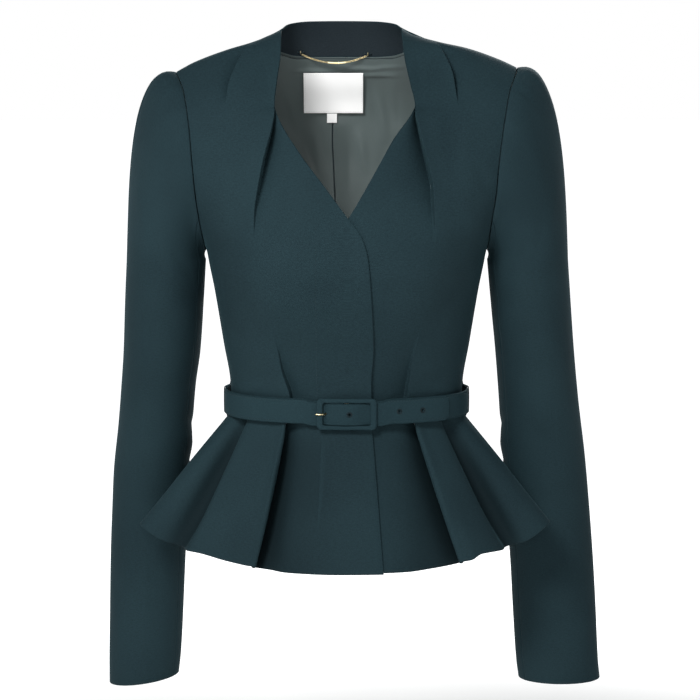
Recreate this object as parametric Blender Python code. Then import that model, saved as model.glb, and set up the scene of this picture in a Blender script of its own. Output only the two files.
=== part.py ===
"""Peplum jacket in its worn form, empty, held at the shoulders.

Sizes are in millimetres here and become metres when a mesh is made. +X is the viewer's right
(the wearer's left), -Y is the front and +Z is up. Height 0 is the seam of the back neck, depth 0
is the side seam. The cloth pieces are walls: a shaped surface, its inner copy and the cut edges.
"""
import bpy
import numpy as np

MM = 0.001
CLOTH = 1.8
LINING = 1.0
SEAM = 0.3
OVERLAP_RISE = 2.8
WAIST = -357.0
UNDERARM = -200.7
CORNER = -50.8
RIDGE_Y = 5.0
SECTION_POWER = 2.3
COLLAR_CLOTH = 1.5
LINING_GAP = 1.6
LINING_GAP_AT_EDGE = 0.45
LINING_GAP_AT_CORNER = 2.4
LINING_DROP = 1.2
BELT_THICK = 2.0
BELT_WIDTH = 25.6
RIGHT_SIDE, LEFT_SIDE = -1, 1


class Table:
    """Rows of sizes with named columns, read along the first column on a smooth curve."""

    def __init__(self, names, *rows):
        self.names = names.split()
        self.rows = np.array(sorted(rows), float)

    def at(self, name, where):
        return smooth_curve(self.rows[:, 0], self.rows[:, self.names.index(name)], where)


def smooth_curve(knots, values, where):
    """Monotone cubic through the knots, which never overshoots a row."""
    where = np.clip(np.asarray(where, float), knots[0], knots[-1])
    step = np.diff(knots)
    rise = np.diff(values) / step
    slope = np.empty(len(knots))
    slope[0], slope[-1] = rise[0], rise[-1]
    before, after = rise[:-1], rise[1:]
    total = np.where(before + after == 0, 1, before + after)
    slope[1:-1] = np.where(before * after > 0, 2 * before * after / total, 0)
    i = np.clip(np.searchsorted(knots, where) - 1, 0, len(step) - 1)
    t = (where - knots[i]) / step[i]
    start = (2 * t**3 - 3 * t**2 + 1) * values[i] + (t**3 - 2 * t**2 + t) * step[i] * slope[i]
    end = (3 * t**2 - 2 * t**3) * values[i + 1] + (t**3 - t**2) * step[i] * slope[i + 1]
    return start + end


def ease(low, high, value):
    t = np.clip((value - low) / (high - low), 0, 1)
    return t * t * (3 - 2 * t)


# The form of the body of the jacket. Above the underarm the half width is that of the whole
# chest and shoulder, of which the armhole cuts the end off.
TORSO = Table("z half_width front_depth back_depth",
              (-357, 119.0, 88, 76),
              (-330, 121.6, 89, 78),
              (-300, 127.0, 94, 84),
              (-270, 131.8, 103, 91),
              (-240, 136.8, 113, 96),
              (-215, 141.8, 118, 100),
              (-200.7, 144.6, 117, 101),
              (-160, 164.0, 108, 104),
              (-120, 183.0, 98, 102),
              (-80, 198.0, 84, 95),
              (-40, 205.0, 70, 84),
              (0, 206.0, 53, 68),
              (40, 206.0, 50, 64))

# The ridge of the shoulders. A smaller roll turns the cloth over it more tightly.
RIDGE = Table("across right left roll",
              (0, 45, 45, 108),
              (40, 38, 36, 105),
              (57, 29.5, 26, 100),
              (67, 24.4, 20.5, 96),
              (95, 12.8, 12.4, 88),
              (123, 4.4, 6.3, 78),
              (156, -8, -5, 64),
              (175, -18.2, -13.8, 56),
              (190, -27, -22, 54))

ARMHOLE = Table("z right left",
                (-200.7, 144.6, 144.6),
                (-171, 149.0, 146.9),
                (-144, 152.6, 151.0),
                (-112, 155.5, 153.6),
                (-74, 158.9, 158.6),
                (-38, 165.3, 165.6),
                (-14, 177.3, 176.1))

BUST = dict(across=78, height=-225, rise=10, wide=45, tall=55)

# The free edges of the two fronts: hidden or buttoned edge, the V, the corner and the collar.
RIGHT_EDGE = Table("z x", (-357, 25.5), (-330, 24.9), (-293, 27.2), (-263, 26.1), (-224, 23.8),
                   (-200.8, 21.3), (-183.6, 16.3), (-170.8, 8.4), (-162, 1.2), (-133, -20.4),
                   (-98, -46.8), (-58.7, -70.0), (-50.8, -72.2), (-26, -70.0), (3, -66.8), (24.4, -67.0))
LEFT_EDGE = Table("z x", (-357, -25), (-225, -25), (-198, -21), (-178, -11), (-162, 1.6), (-141, 14.6),
                  (-112.5, 30.8), (-83.3, 47.5), (-56.7, 66.4), (-50.8, 68.8), (-31, 64.8), (-1, 58.8),
                  (26, 56.6))

# The neck pleat, which runs on as the waist tuck, and the tuck at the shoulder seam.
RIGHT_PLEAT = Table("z x", (-357, -56), (-343, -58.5), (-317, -66.1), (-299, -69.0), (-244, -84.5),
                    (-193, -92.8), (-155, -92.5), (-140, -91.1), (-108, -86.5), (-75, -78.6), (-50.8, -72.2))
LEFT_PLEAT = Table("z x", (-357, 60), (-343, 63.0), (-311, 66), (-244, 82), (-193, 89), (-164, 88.4),
                   (-132, 88.6), (-108, 84.6), (-78.4, 77.6), (-50.8, 68.8))
RIGHT_TUCK = Table("z x", (-357, -92), (-300, -101), (-220, -114), (-150, -122), (-80, -125),
                   (-34, -119.5), (-6, -107.1), (13, -96.0))
LEFT_TUCK = Table("z x", (-357, 92), (-300, 100), (-220, 112), (-150, 118), (-80, 116),
                  (-34, 109.4), (-21, 106.6), (-6, 100.0), (15, 87.9))

# How high each fold stands over the cloth beside it, along its length.
FOLD = Table("z neck_pleat waist_tuck shoulder_tuck",
             (-357, 0, 2.6, 0),
             (-330, 0, 2.0, 0),
             (-300, 0, 0.8, 0),
             (-285, 0, 0, 0),
             (-180, 0, 0, 0),
             (-155, 1.4, 0, 0),
             (-125, 3.4, 0, 0),
             (-90, 4.4, 0, 0),
             (-60, 2.4, 0, 0),
             (-50.8, 0, 0, 0),
             (-40, 0, 0, 0),
             (-20, 0, 0, 1.6),
             (15, 0, 0, 2.6))

# The rows of the fronts: height at the free edge, height at the side or armhole, rows up to it.
FRONT_ROWS = ((-357, -357, 0), (-285, -285, 4), (-225, -232, 3), (-186, UNDERARM, 2),
              (-150, -168, 2), (-90, -120, 3), (-50.8, -82, 2), (-12, -42, 2), (25, -16, 3))


def side_value(table, names, where, x):
    return np.where(x < 0, table.at(names[0], where), table.at(names[1], where))


def ridge_height(x):
    return side_value(RIDGE, ("right", "left"), np.abs(x), x)


def armhole_across(z, side):
    return ARMHOLE.at("right" if side < 0 else "left", z)


def outer_across(z, side):
    """Distance of the side seam, and above the underarm of the armhole, from the middle."""
    return np.where(z < UNDERARM, TORSO.at("half_width", z), armhole_across(z, side))


def torso_depth(x, z, front):
    """Depth of the form at a place across and a height."""
    share = np.clip(np.abs(x) / TORSO.at("half_width", z), 0, 1)
    fall = (1 - share**SECTION_POWER) ** (1 / SECTION_POWER)
    depth = TORSO.at("front_depth" if front else "back_depth", z) * fall
    if front:
        across = (np.abs(x) - BUST["across"]) / BUST["wide"]
        up = (z - BUST["height"]) / BUST["tall"]
        depth = depth + BUST["rise"] * fall * np.exp(-across**2 - up**2)
    drop = np.clip((ridge_height(x) - z) / RIDGE.at("roll", np.abs(x)), 0, 1)
    turn = np.sqrt(1 - (1 - drop) ** 2)
    return RIDGE_Y * (1 - ease(0, 1, drop)) + (-turn if front else turn) * depth


def form_points(x, z, front):
    return np.stack([x, torso_depth(x, z, front), z], axis=-1)


# Meshes

def vertex_normals(points, faces):
    normals = np.zeros_like(points)
    for face in faces:
        corners = points[list(face)]
        area = np.zeros(3)
        for a, b in zip(corners, np.roll(corners, -1, axis=0)):
            area += np.cross(a - corners[0], b - corners[0])
        normals[list(face)] += area
    length = np.linalg.norm(normals, axis=1, keepdims=True)
    return normals / np.where(length == 0, 1, length)


def grid_faces(rows, columns, closed=False):
    """Faces between neighbouring rows and columns of points numbered row by row."""
    faces = []
    for r in range(rows - 1):
        for c in range(columns if closed else columns - 1):
            d = (c + 1) % columns
            faces.append((r * columns + c, r * columns + d, (r + 1) * columns + d, (r + 1) * columns + c))
    return faces


def face_out(points, faces, heart):
    """Turn the faces so that they look away from the heart of the form."""
    normals = vertex_normals(points, faces)
    if np.sum(normals * (points - np.array(heart))) < 0:
        faces = [tuple(reversed(face)) for face in faces]
    return faces


def wall_mesh(outer, inner, faces):
    """Outer skin, inner skin and the cut edges between them."""
    count = len(outer)
    used = {(a, b) for face in faces for a, b in zip(face, face[1:] + face[:1])}
    rims = [(b, a, a + count, b + count) for a, b in sorted(used) if (b, a) not in used]
    backs = [tuple(i + count for i in reversed(face)) for face in faces]
    return np.vstack([outer, inner]), list(faces) + rims + backs


def surface_material(name, colour, roughness, metallic=0.0):
    material = bpy.data.materials.new(name)
    material.use_nodes = True
    shader = material.node_tree.nodes["Principled BSDF"]
    shader.inputs["Base Color"].default_value = (*colour, 1)
    shader.inputs["Roughness"].default_value = roughness
    shader.inputs["Metallic"].default_value = metallic
    return material


CREPE = (0.016, 0.040, 0.052)
COLLAR_SHADE = (0.012, 0.026, 0.034)
LINING_GREEN = (0.075, 0.100, 0.093)
LABEL_WHITE = (0.80, 0.80, 0.78)
BRASS = (0.66, 0.50, 0.25)


def add_object(name, points, faces, colour=CREPE, roughness=0.8, metallic=0.0, sharp=0.9):
    mesh = bpy.data.meshes.new(name)
    mesh.from_pydata([tuple(p) for p in np.asarray(points) * MM], [], [tuple(f) for f in faces])
    mesh.validate()
    mesh.shade_smooth()
    mesh.set_sharp_from_angle(angle=sharp)
    piece = bpy.data.objects.new(name, mesh)
    piece.data.materials.append(surface_material(name + "_surface", colour, roughness, metallic))
    bpy.context.scene.collection.objects.link(piece)
    return piece


def add_wall(name, points, faces, heart, thickness=CLOTH, keep=None, **look):
    """A panel from its outer points. Keep holds both skins clear of the next panel."""
    faces = face_out(points, faces, heart)
    inner = points - vertex_normals(points, faces) * thickness
    if keep is not None:
        points, inner = keep(points), keep(inner)
    return add_object(name, *wall_mesh(points, inner, faces), **look)


def add_strip(name, outer, inner, columns, heart, **look):
    """A panel cut from a whole garment tube between two of its columns, half a seam short of both."""
    outer, inner = pull_in(outer[:, columns]), pull_in(inner[:, columns])
    rows, count = outer.shape[:2]
    flat = outer.reshape(-1, 3)
    faces = face_out(flat, grid_faces(rows, count), heart)
    return add_object(name, *wall_mesh(flat, inner.reshape(-1, 3), faces), **look)


def pull_in(grid):
    """Draw the two side columns of a piece in by half a seam, and more near its seam with the body."""
    grid = grid.copy()
    reach = np.full((len(grid), 1), SEAM / 2)
    reach[:5] = 0.45
    for edge, inward in ((0, 1), (-1, -2)):
        step = grid[:, inward] - grid[:, edge]
        grid[:, edge] += step / np.linalg.norm(step, axis=1, keepdims=True) * reach
    return grid


# Fronts

def spread_rows(keys):
    """Heights of every row at the free edge and at the side."""
    inner, outer = [keys[0][0]], [keys[0][1]]
    for (in_a, out_a, _), (in_b, out_b, count) in zip(keys, keys[1:]):
        for i in range(1, count + 1):
            inner.append(in_a + (in_b - in_a) * i / count)
            outer.append(out_a + (out_b - out_a) * i / count)
    return np.array(inner), np.array(outer)


def front_columns(side):
    """Each column of a front: where it lies across at a height, and how high it stands."""
    edge, pleat, tuck = {-1: (RIGHT_EDGE, RIGHT_PLEAT, RIGHT_TUCK), 1: (LEFT_EDGE, LEFT_PLEAT, LEFT_TUCK)}[side]
    inward = -side

    def fold(z):
        return FOLD.at("neck_pleat", z) + FOLD.at("waist_tuck", z)

    def step(z):
        return np.minimum(2.0, fold(z) * 0.8 + 0.2) * ease(CORNER, CORNER - 5, z)

    def recess(z):
        return pleat.at("x", z) + inward * step(z)

    def between(low, high, share):
        return lambda z: low(z) + (high(z) - low(z)) * share

    def edge_x(z):
        return edge.at("x", z)

    def pleat_x(z):
        return np.where(z > CORNER, edge.at("x", z), pleat.at("x", z))

    def tuck_x(z):
        return tuck.at("x", z)

    def tuck_foot(z):
        return tuck.at("x", z) + side * (0.8 + 1.2 * ease(-45, -20, z))

    def side_x(z):
        return side * outer_across(z, side)

    inner_part = []
    for share in (0, 0.22, 0.44, 0.64, 0.8, 0.92, 1):
        inner_part.append((between(edge_x, recess, share), lambda z, s=share: -0.35 * fold(z) * s**3))
    outer_part = []
    for share in (0, 0.1, 0.3, 0.55, 0.8, 1):
        outer_part.append((between(pleat_x, tuck_x, share), lambda z, s=share: 0.65 * fold(z) * (1 - s) ** 2
                           + 0.6 * FOLD.at("shoulder_tuck", z) * s**3))
    for share in (0, 0.12, 0.3, 0.5, 0.68, 0.84, 0.94, 1):
        outer_part.append((between(tuck_foot, side_x, share),
                           lambda z, s=share: -0.4 * FOLD.at("shoulder_tuck", z) * (1 - s) ** 4))
    return inner_part, outer_part, edge_x, side_x


def overlap_rise(x, side):
    """The wearer's right front lies over the left one."""
    if side > 0:
        return 0 * x
    return OVERLAP_RISE * ease(-62, -36, x)


def front_panel(side):
    """Points, faces and normals of a front, from the waist seam to the shoulder and collar."""
    inner_z, outer_z = spread_rows(FRONT_ROWS)
    inner_part, outer_part, edge_x, side_x = front_columns(side)
    corner = int(np.argmin(np.abs(inner_z - CORNER)))
    top = ridge_height
    points, heights, index = [], [], {}
    for r, (z_in, z_out) in enumerate(zip(inner_z, outer_z)):
        columns = inner_part + outer_part if r <= corner else outer_part
        first = 0 if r <= corner else len(inner_part)
        last = len(inner_part) + len(outer_part) - 1
        for c, (place, height) in enumerate(columns, start=first):
            if r == corner and c < len(inner_part):
                continue
            x0, x1 = edge_x(z_in), side_x(z_out)
            z = np.array(z_in + (z_out - z_in) * (c - first) / max(last - first, 1))
            for _ in range(12):
                share = np.clip((place(z) - x0) / (x1 - x0), 0, 1)
                z = 0.5 * z + 0.5 * (z_in + (z_out - z_in) * share)
            x = place(z)
            if r == len(inner_z) - 1:
                x = x0 + (x1 - x0) * np.clip((place(z) - x0) / (x1 - x0), 0, 1)
                z = top(x)
            z = np.minimum(z, top(x))
            index[(r, c)] = len(points)
            points.append((float(x), float(torso_depth(x, z, True)), float(z)))
            heights.append(float(height(z) + overlap_rise(x, side)))
    for c in range(len(inner_part)):
        index[(corner, c)] = index[(corner, len(inner_part))]
    faces = []
    for r in range(len(inner_z) - 1):
        first = 0 if r < corner else len(inner_part)
        for c in range(first, len(inner_part) + len(outer_part) - 1):
            ring = [index[(r, c)], index[(r, c + 1)], index[(r + 1, c + 1)], index[(r + 1, c)]]
            face = tuple(v for i, v in enumerate(ring) if v != ring[i - 1])
            if len(face) > 2:
                faces.append(face)
    points = np.array(points)
    faces = face_out(points, faces, (0, 20, -180))
    points = points + vertex_normals(points, faces) * np.array(heights)[:, None]
    return points, faces


def seam_depth(z):
    """Depth of the plane between front and back: the side seam below, the ridge above."""
    return RIDGE_Y * ease(-150, -70, z)


def keep_front(side):
    def keep(points):
        p = points.copy()
        p[:, 1] = np.minimum(p[:, 1], seam_depth(p[:, 2]) - SEAM / 2)
        p[:, 2] = np.maximum(p[:, 2], WAIST + SEAM / 2)
        return keep_inside_armhole(p, side)
    return keep


def keep_inside_armhole(p, side):
    limit = armhole_across(p[:, 2], side)
    across = np.minimum(side * p[:, 0], np.where(p[:, 2] > UNDERARM - 1, limit, 1000))
    p[:, 0] = side * across
    return p


def build_fronts():
    for name, side in (("front_right", RIGHT_SIDE), ("front_left", LEFT_SIDE)):
        points, faces = front_panel(side)
        add_wall(name, points, faces, (0, 20, -180), keep=keep_front(side))


# Back, collar and lining

NECK_POINT = {RIGHT_SIDE: 88.0, LEFT_SIDE: 80.0}
NECK_SEAM = Table("across rise", (0, -2.2), (30, -2.2), (52, -1.0), (68, 3.5), (80, 11), (88, 16))
NECK_SHARES = (0, 0.18, 0.36, 0.53, 0.68, 0.81, 0.92, 1)
SHOULDER_SHARES = (0.17, 0.38, 0.58, 0.76, 0.9, 1)


def shoulder_tip(side):
    return float(outer_across(FRONT_ROWS[-1][1], side))


def back_shares(side):
    """The back's columns as shares of its width: across the neck seam, then along the shoulder."""
    neck, tip = NECK_POINT[side], shoulder_tip(side)
    across = [neck * share for share in NECK_SHARES]
    across += [neck + (tip - neck) * share for share in SHOULDER_SHARES]
    return np.array(across) / tip


def back_top(x, side):
    """Height of the top edge of the back: neck seam, then shoulder seam."""
    neck = NECK_POINT[side]
    stretch = np.abs(x) * NECK_POINT[RIGHT_SIDE] / neck
    at_neck = float(ridge_height(np.array(side * neck)))
    seam = NECK_SEAM.at("rise", stretch) + (at_neck - 16) * ease(52, 88, stretch)
    return np.where(np.abs(x) >= neck - 0.001, ridge_height(x), seam)


def back_surface(side, shares, heights):
    """Rows from the waist up, each from the middle to the side, as a grid of points."""
    rows = []
    for z_out in heights:
        across = side * np.asarray(shares) * outer_across(z_out, side)
        level = np.full(len(shares), float(z_out))
        if z_out > UNDERARM + 0.01:
            up = (z_out - UNDERARM) / (heights[-1] - UNDERARM)
            top = back_top(side * np.asarray(shares) * shoulder_tip(side), side)
            level = UNDERARM + (top - UNDERARM) * up
        level = np.minimum(level, ridge_height(across))
        rows.append(form_points(across, level, False))
    return np.array(rows)


def keep_back(side):
    def keep(points):
        p = points.copy()
        p[:, 1] = np.maximum(p[:, 1], seam_depth(p[:, 2]) + SEAM / 2)
        p[:, 2] = np.maximum(p[:, 2], WAIST + SEAM / 2)
        p[:, 0] = side * np.maximum(side * p[:, 0], SEAM / 2)
        return keep_inside_armhole(p, side)
    return keep


def build_backs():
    heights = spread_rows(FRONT_ROWS)[1]
    for name, side in (("back_right", RIGHT_SIDE), ("back_left", LEFT_SIDE)):
        grid = back_surface(side, back_shares(side), heights)
        faces = grid_faces(*grid.shape[:2])
        add_wall(name, grid.reshape(-1, 3), faces, (0, 0, -180), keep=keep_back(side))


COLLAR_ROWS = 5
COLLAR_TOP = Table("turn x y z", (-90, -67, 5, 24.4), (-60, -60.5, 28, 30.6), (-30, -38, 45, 33.8),
                   (0, -5, 50, 34.2), (30, 28, 45, 33.8), (60, 50.5, 28, 31.0), (90, 56.6, 5, 26.2))


def whole_back(heights):
    """The backs of both sides as one grid, from the wearer's right to the left."""
    right = back_surface(RIGHT_SIDE, back_shares(RIGHT_SIDE), heights)
    left = back_surface(LEFT_SIDE, back_shares(LEFT_SIDE), heights)
    return np.concatenate([right[:, :0:-1], left], axis=1)


def collar_surface():
    """From the back neck seam, whose points it shares, up to its free edge."""
    foot = whole_back(spread_rows(FRONT_ROWS)[1])[-1]
    ends = len(SHOULDER_SHARES)
    foot = foot[ends:len(foot) - ends]
    middle = len(NECK_SHARES) - 1
    reach = np.where(foot[:, 0] < 0, NECK_POINT[RIGHT_SIDE], NECK_POINT[LEFT_SIDE])
    turn = np.degrees(np.arcsin(np.clip((np.abs(foot[:, 0]) / reach) ** 0.87, 0, 1))) * np.sign(foot[:, 0])
    turn[0], turn[middle], turn[-1] = -90, 0, 90
    top = np.stack([COLLAR_TOP.at(axis, turn) for axis in "xyz"], axis=1)
    lift = (top - foot) / np.linalg.norm(top - foot, axis=1, keepdims=True)
    start = foot + lift * SEAM
    rows = []
    for share in np.linspace(0, 1, COLLAR_ROWS):
        row = start + (top - start) * share
        row[:, 1] += 2.5 * np.sin(np.pi * share) * np.cos(np.radians(turn))
        rows.append(row)
    return np.array(rows)


def build_collar():
    grid = collar_surface()

    def keep(points):
        p = points.copy()
        p[:, 1] = np.maximum(p[:, 1], RIDGE_Y + SEAM / 2)
        return p
    add_wall("collar_back", grid.reshape(-1, 3), grid_faces(*grid.shape[:2]), (-5, 0, 0),
             thickness=COLLAR_CLOTH, keep=keep, colour=COLLAR_SHADE)


LINING_ROWS = [0, 2, 4, 6, 7, 9, 11, 12, 13, 14, 15, 16, 17, 18, 19, 20, 21]


def lining_skins():
    """The lining's two skins: the back's own points, moved in past the cloth."""
    heights = spread_rows(FRONT_ROWS)[1][LINING_ROWS]
    heights[0] = WAIST + 1
    grid = whole_back(heights)
    rows, columns = grid.shape[:2]
    points = grid.reshape(-1, 3)
    normals = vertex_normals(points, face_out(points, grid_faces(rows, columns), (0, 0, -180)))
    across, height = np.abs(grid[..., :1]), grid[..., 2:]
    corner = ease(35, 55, across) * (1 - ease(100, 125, across)) * ease(-75, -25, height)
    clear = CLOTH + LINING_GAP + LINING_GAP_AT_CORNER * corner
    skins = []
    for thickness in (0, LINING):
        skin = points.reshape(rows, columns, 3) - normals.reshape(rows, columns, 3) * (clear + thickness)
        down = skin[-2] - skin[-1]
        skin[-1] += down / np.linalg.norm(down, axis=1, keepdims=True) * LINING_DROP
        skin[..., 1] = np.maximum(skin[..., 1], seam_depth(skin[..., 2]) + LINING_GAP_AT_EDGE)
        skins.append(skin[:, 1:-1])
    return skins


def build_lining():
    outer, inner = lining_skins()
    rows, columns = outer.shape[:2]
    flat = outer.reshape(-1, 3)
    faces = face_out(flat, grid_faces(rows, columns), (0, 0, -180))
    add_object("lining_back", *wall_mesh(flat, inner.reshape(-1, 3), faces), colour=LINING_GREEN, roughness=0.45)


def depth_on_grid(grid, x, z):
    """Depth of a gridded skin at a place across and a height."""
    for r in range(grid.shape[0] - 1):
        for c in range(grid.shape[1] - 1):
            corners = grid[r, c], grid[r, c + 1], grid[r + 1, c + 1], grid[r + 1, c]
            for i, j, k in ((0, 1, 2), (0, 2, 3)):
                a, b, d = corners[i], corners[j], corners[k]
                area = (b[0] - a[0]) * (d[2] - a[2]) - (d[0] - a[0]) * (b[2] - a[2])
                if abs(area) < 1e-9:
                    continue
                u = ((x - a[0]) * (d[2] - a[2]) - (d[0] - a[0]) * (z - a[2])) / area
                v = ((b[0] - a[0]) * (z - a[2]) - (x - a[0]) * (b[2] - a[2])) / area
                if min(u, v, 1 - u - v) >= -1e-6:
                    return a[1] + u * (b[1] - a[1]) + v * (d[1] - a[1])
    raise ValueError("the place lies off the skin")


def add_patch(name, x_range, z_range, cells, moved, thickness, **look):
    """A small flat piece sewn on the lining, made from the lining's points, moved in."""
    skin = lining_skins()[1]
    far = np.array([(x, depth_on_grid(skin, x, z) - moved, z)
                    for z in np.linspace(*z_range, cells[1] + 1) for x in np.linspace(*x_range, cells[0] + 1)])
    near = far - np.array([0, thickness, 0])
    faces = face_out(near, grid_faces(cells[1] + 1, cells[0] + 1), far.mean(axis=0) + np.array([0, 60, 0]))
    add_object(name, *wall_mesh(near, far, faces), **look)


def build_labels():
    add_patch("label", (-45.1, 17.5), (-63.0, -20.2), (8, 5), 0.3, 0.6, colour=LABEL_WHITE, roughness=0.5)
    add_patch("size_tab", (-20.7, -10.1), (-73.4, -63.4), (2, 2), 0.3, 0.5, colour=LABEL_WHITE, roughness=0.5)


# Sleeves

SLEEVE_RIGHT = Table("z outer inner middle_y half_depth",
                     (-664, 254.3, 180.0, 46, 37.0), (-642, 254.2, 177.6, 46, 37.5),
                     (-587, 253.4, 174.7, 50, 39.5), (-521.6, 251.7, 171.5, 50, 42.0),
                     (-480, 249.6, 168.8, 47, 42.5), (-439.5, 247.1, 166.2, 42, 44.0),
                     (-384.7, 240.5, 162.2, 33, 46.5), (-345, 236.6, 158.5, 26, 49.0),
                     (-309, 233.5, 153.1, 20, 52.0), (-258, 230.9, 149.0, 13, 54.5), (-212, 228.2, 146.0, 8, 56.0))
SLEEVE_LEFT = Table("z outer inner middle_y half_depth",
                    (-664, 271.6, 184.5, 46, 37.0), (-644, 269.5, 181.8, 46, 37.5),
                    (-595.7, 267.3, 178.5, 50, 39.5), (-531.4, 263.2, 174.6, 50, 42.0),
                    (-482, 258.9, 169.4, 47, 42.5), (-423, 252.8, 164.8, 41, 44.5),
                    (-360.7, 244.1, 160.4, 29, 48.0), (-306.6, 238.1, 155.6, 20, 52.0),
                    (-258.7, 233.8, 150.5, 13, 54.5), (-212, 230.0, 146.0, 8, 56.0))

# Directions in which the sleeve leaves the armhole and arrives at the upper arm, round the arm.
CAP = Table("turn leave_out leave_up leave_front arrive_down",
            (0, 150, 25, 0, 210), (45, 112, -6, 8, 172), (90, 60, -30, 12, 100), (135, 22, -16, 5, 38), (180, 4, -6, 0, 12))
CAP_RINGS = 7
ARM_HEIGHTS = (-250, -290, -335, -380, -425, -470, -515, -560, -605, -640, -664)
CUFF_TILT = {-1: 0.14, 1: 0.0}
FRONT_SEAM_STEP, BACK_SEAM_STEP = 2, 5


def armhole_heights():
    heights = spread_rows(FRONT_ROWS)[1]
    return heights[heights >= UNDERARM - 0.01]


def armhole_ring(side):
    """Points round the armhole from the shoulder down the front and up the back."""
    heights = armhole_heights()[::-1]
    ring = []
    for z in heights:
        ring.append(armhole_point(z, side, True))
    for z in heights[-2:0:-1]:
        ring.append(armhole_point(z, side, False))
    return np.array(ring)


def armhole_point(z, side, front):
    x = side * float(armhole_across(z, side))
    if z > -17:
        z = float(ridge_height(np.array(x)))
    if abs(z - UNDERARM) < 0.01:
        return x, 0.0, z
    return x, float(torso_depth(np.array(x), np.array(z), front)), z


def arm_ring(side, z, count):
    table = SLEEVE_RIGHT if side < 0 else SLEEVE_LEFT
    outer, inner = table.at("outer", z), table.at("inner", z)
    middle, half = (outer + inner) / 2, (outer - inner) / 2
    turn = np.arange(count) * 2 * np.pi / count
    x = side * (middle + half * np.cos(turn))
    y = table.at("middle_y", z) - table.at("half_depth", z) * np.sin(turn)
    slant = CUFF_TILT[side] * ease(-600, -664, z) * half * -np.cos(turn)
    return np.stack([x, y, z + slant], axis=1)


def sleeve_surface(side):
    """Rings of the whole sleeve, from the armhole to the cuff."""
    start = armhole_ring(side)
    start[:, 0] += side * 2 * SEAM
    count = len(start)
    end = arm_ring(side, np.full(count, -212.0), count)
    turn = np.degrees(np.arange(count) * 2 * np.pi / count)
    away = np.minimum(turn, 360 - turn)
    facing = np.where(turn < 180, -1, 1)
    leave = np.stack([side * CAP.at("leave_out", away), facing * CAP.at("leave_front", away),
                      CAP.at("leave_up", away)], axis=1)
    arrive = np.stack([side * 8 * np.cos(np.radians(turn)), 0 * away + 4, -CAP.at("arrive_down", away)], axis=1)
    rings = []
    for t in np.linspace(0, 1, CAP_RINGS):
        rings.append((2 * t**3 - 3 * t**2 + 1) * start + (t**3 - 2 * t**2 + t) * leave
                     + (3 * t**2 - 2 * t**3) * end + (t**3 - t**2) * arrive)
    for z in ARM_HEIGHTS:
        rings.append(arm_ring(side, np.full(count, float(z)), count))
    return np.array(rings)


def build_sleeves():
    for word, side in (("right", RIGHT_SIDE), ("left", LEFT_SIDE)):
        outer = sleeve_surface(side)
        rows, count = outer.shape[:2]
        centre = outer.mean(axis=1)[:, None, :]
        flat = outer.reshape(-1, 3)
        normals = vertex_normals(flat, grid_faces(rows, count, closed=True)).reshape(rows, count, 3)
        if np.sum(normals * (outer - centre)) < 0:
            normals = -normals
        inner = outer - normals * CLOTH
        limit = armhole_across(inner[..., 2], side) + SEAM
        near_seam = inner[..., 2] > UNDERARM - 6
        inner[..., 0] = side * np.maximum(side * inner[..., 0], np.where(near_seam, limit, 0))
        half = count // 2
        front_seam, back_seam = half - FRONT_SEAM_STEP, half + BACK_SEAM_STEP
        heart = outer.mean(axis=(0, 1))
        add_strip("sleeve_upper_" + word, outer, inner, np.arange(back_seam - count, front_seam + 1), heart)
        add_strip("sleeve_under_" + word, outer, inner, np.arange(front_seam, back_seam + 1), heart)


# Peplum

# How far each line of the peplum has moved from the waist to the hem, by its share of the drop.
FLARE = Table("share moved", (0, 0), (0.07, 0.012), (0.105, 0.032), (0.16, 0.09), (0.25, 0.19),
              (0.47, 0.43), (0.75, 0.725), (1, 1))
PEPLUM_ROWS = (0, 0.05, 0.105, 0.17, 0.26, 0.38, 0.52, 0.68, 0.84, 1)

# Lines of the peplum from the middle front to the middle back. waist_x is negative on the
# wearer's right. A line whose hem lies nearer the middle than its neighbours is a fold's depth.
PEPLUM_RIGHT = (  # waist_x, at_back, hem_x, hem_y, hem_z
    (25.5, 0, 37.0, -149.5, -512.6),
    (0, 0, -1.0, -151.5, -512.6),
    (-24, 0, -28.0, -149.5, -513.0),
    (-46, 0, -62.0, -141.0, -512.5),
    (-54, 0, -76.0, -129.0, -512.0),
    (-58.5, 0, -84.0, -111.0, -510.5),
    (-61.5, 0, -92.5, -124.5, -508.0),
    (-70, 0, -101.0, -124.0, -507.0),
    (-83, 0, -122.5, -109.0, -505.5),
    (-94, 0, -147.0, -93.0, -503.0),
    (-102, 0, -164.0, -83.5, -500.0),
    (-106, 0, -172.0, -64.0, -495.0),
    (-110, 0, -187.0, -62.0, -493.0),
    (-115, 0, -205.0, -56.0, -486.5),
    (-118, 0, -213.0, -45.0, -481.0),
    (-118.8, 0, -203.0, -22.0, -481.0),
    (-119, 0, -178.0, 8.0, -485.0),
    (-118, 1, -160.0, 44.0, -489.0),
    (-112, 1, -148.0, 86.0, -494.0),
    (-96, 1, -135.0, 104.0, -498.0),
    (-80, 1, -112.0, 112.0, -500.0),
    (-66, 1, -90.0, 124.0, -501.0),
    (-61, 1, -82.0, 106.0, -502.0),
    (-52, 1, -66.0, 125.0, -503.0),
    (-28, 1, -34.0, 138.0, -504.0),
    (0, 1, 0.0, 141.0, -504.0))
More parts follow.
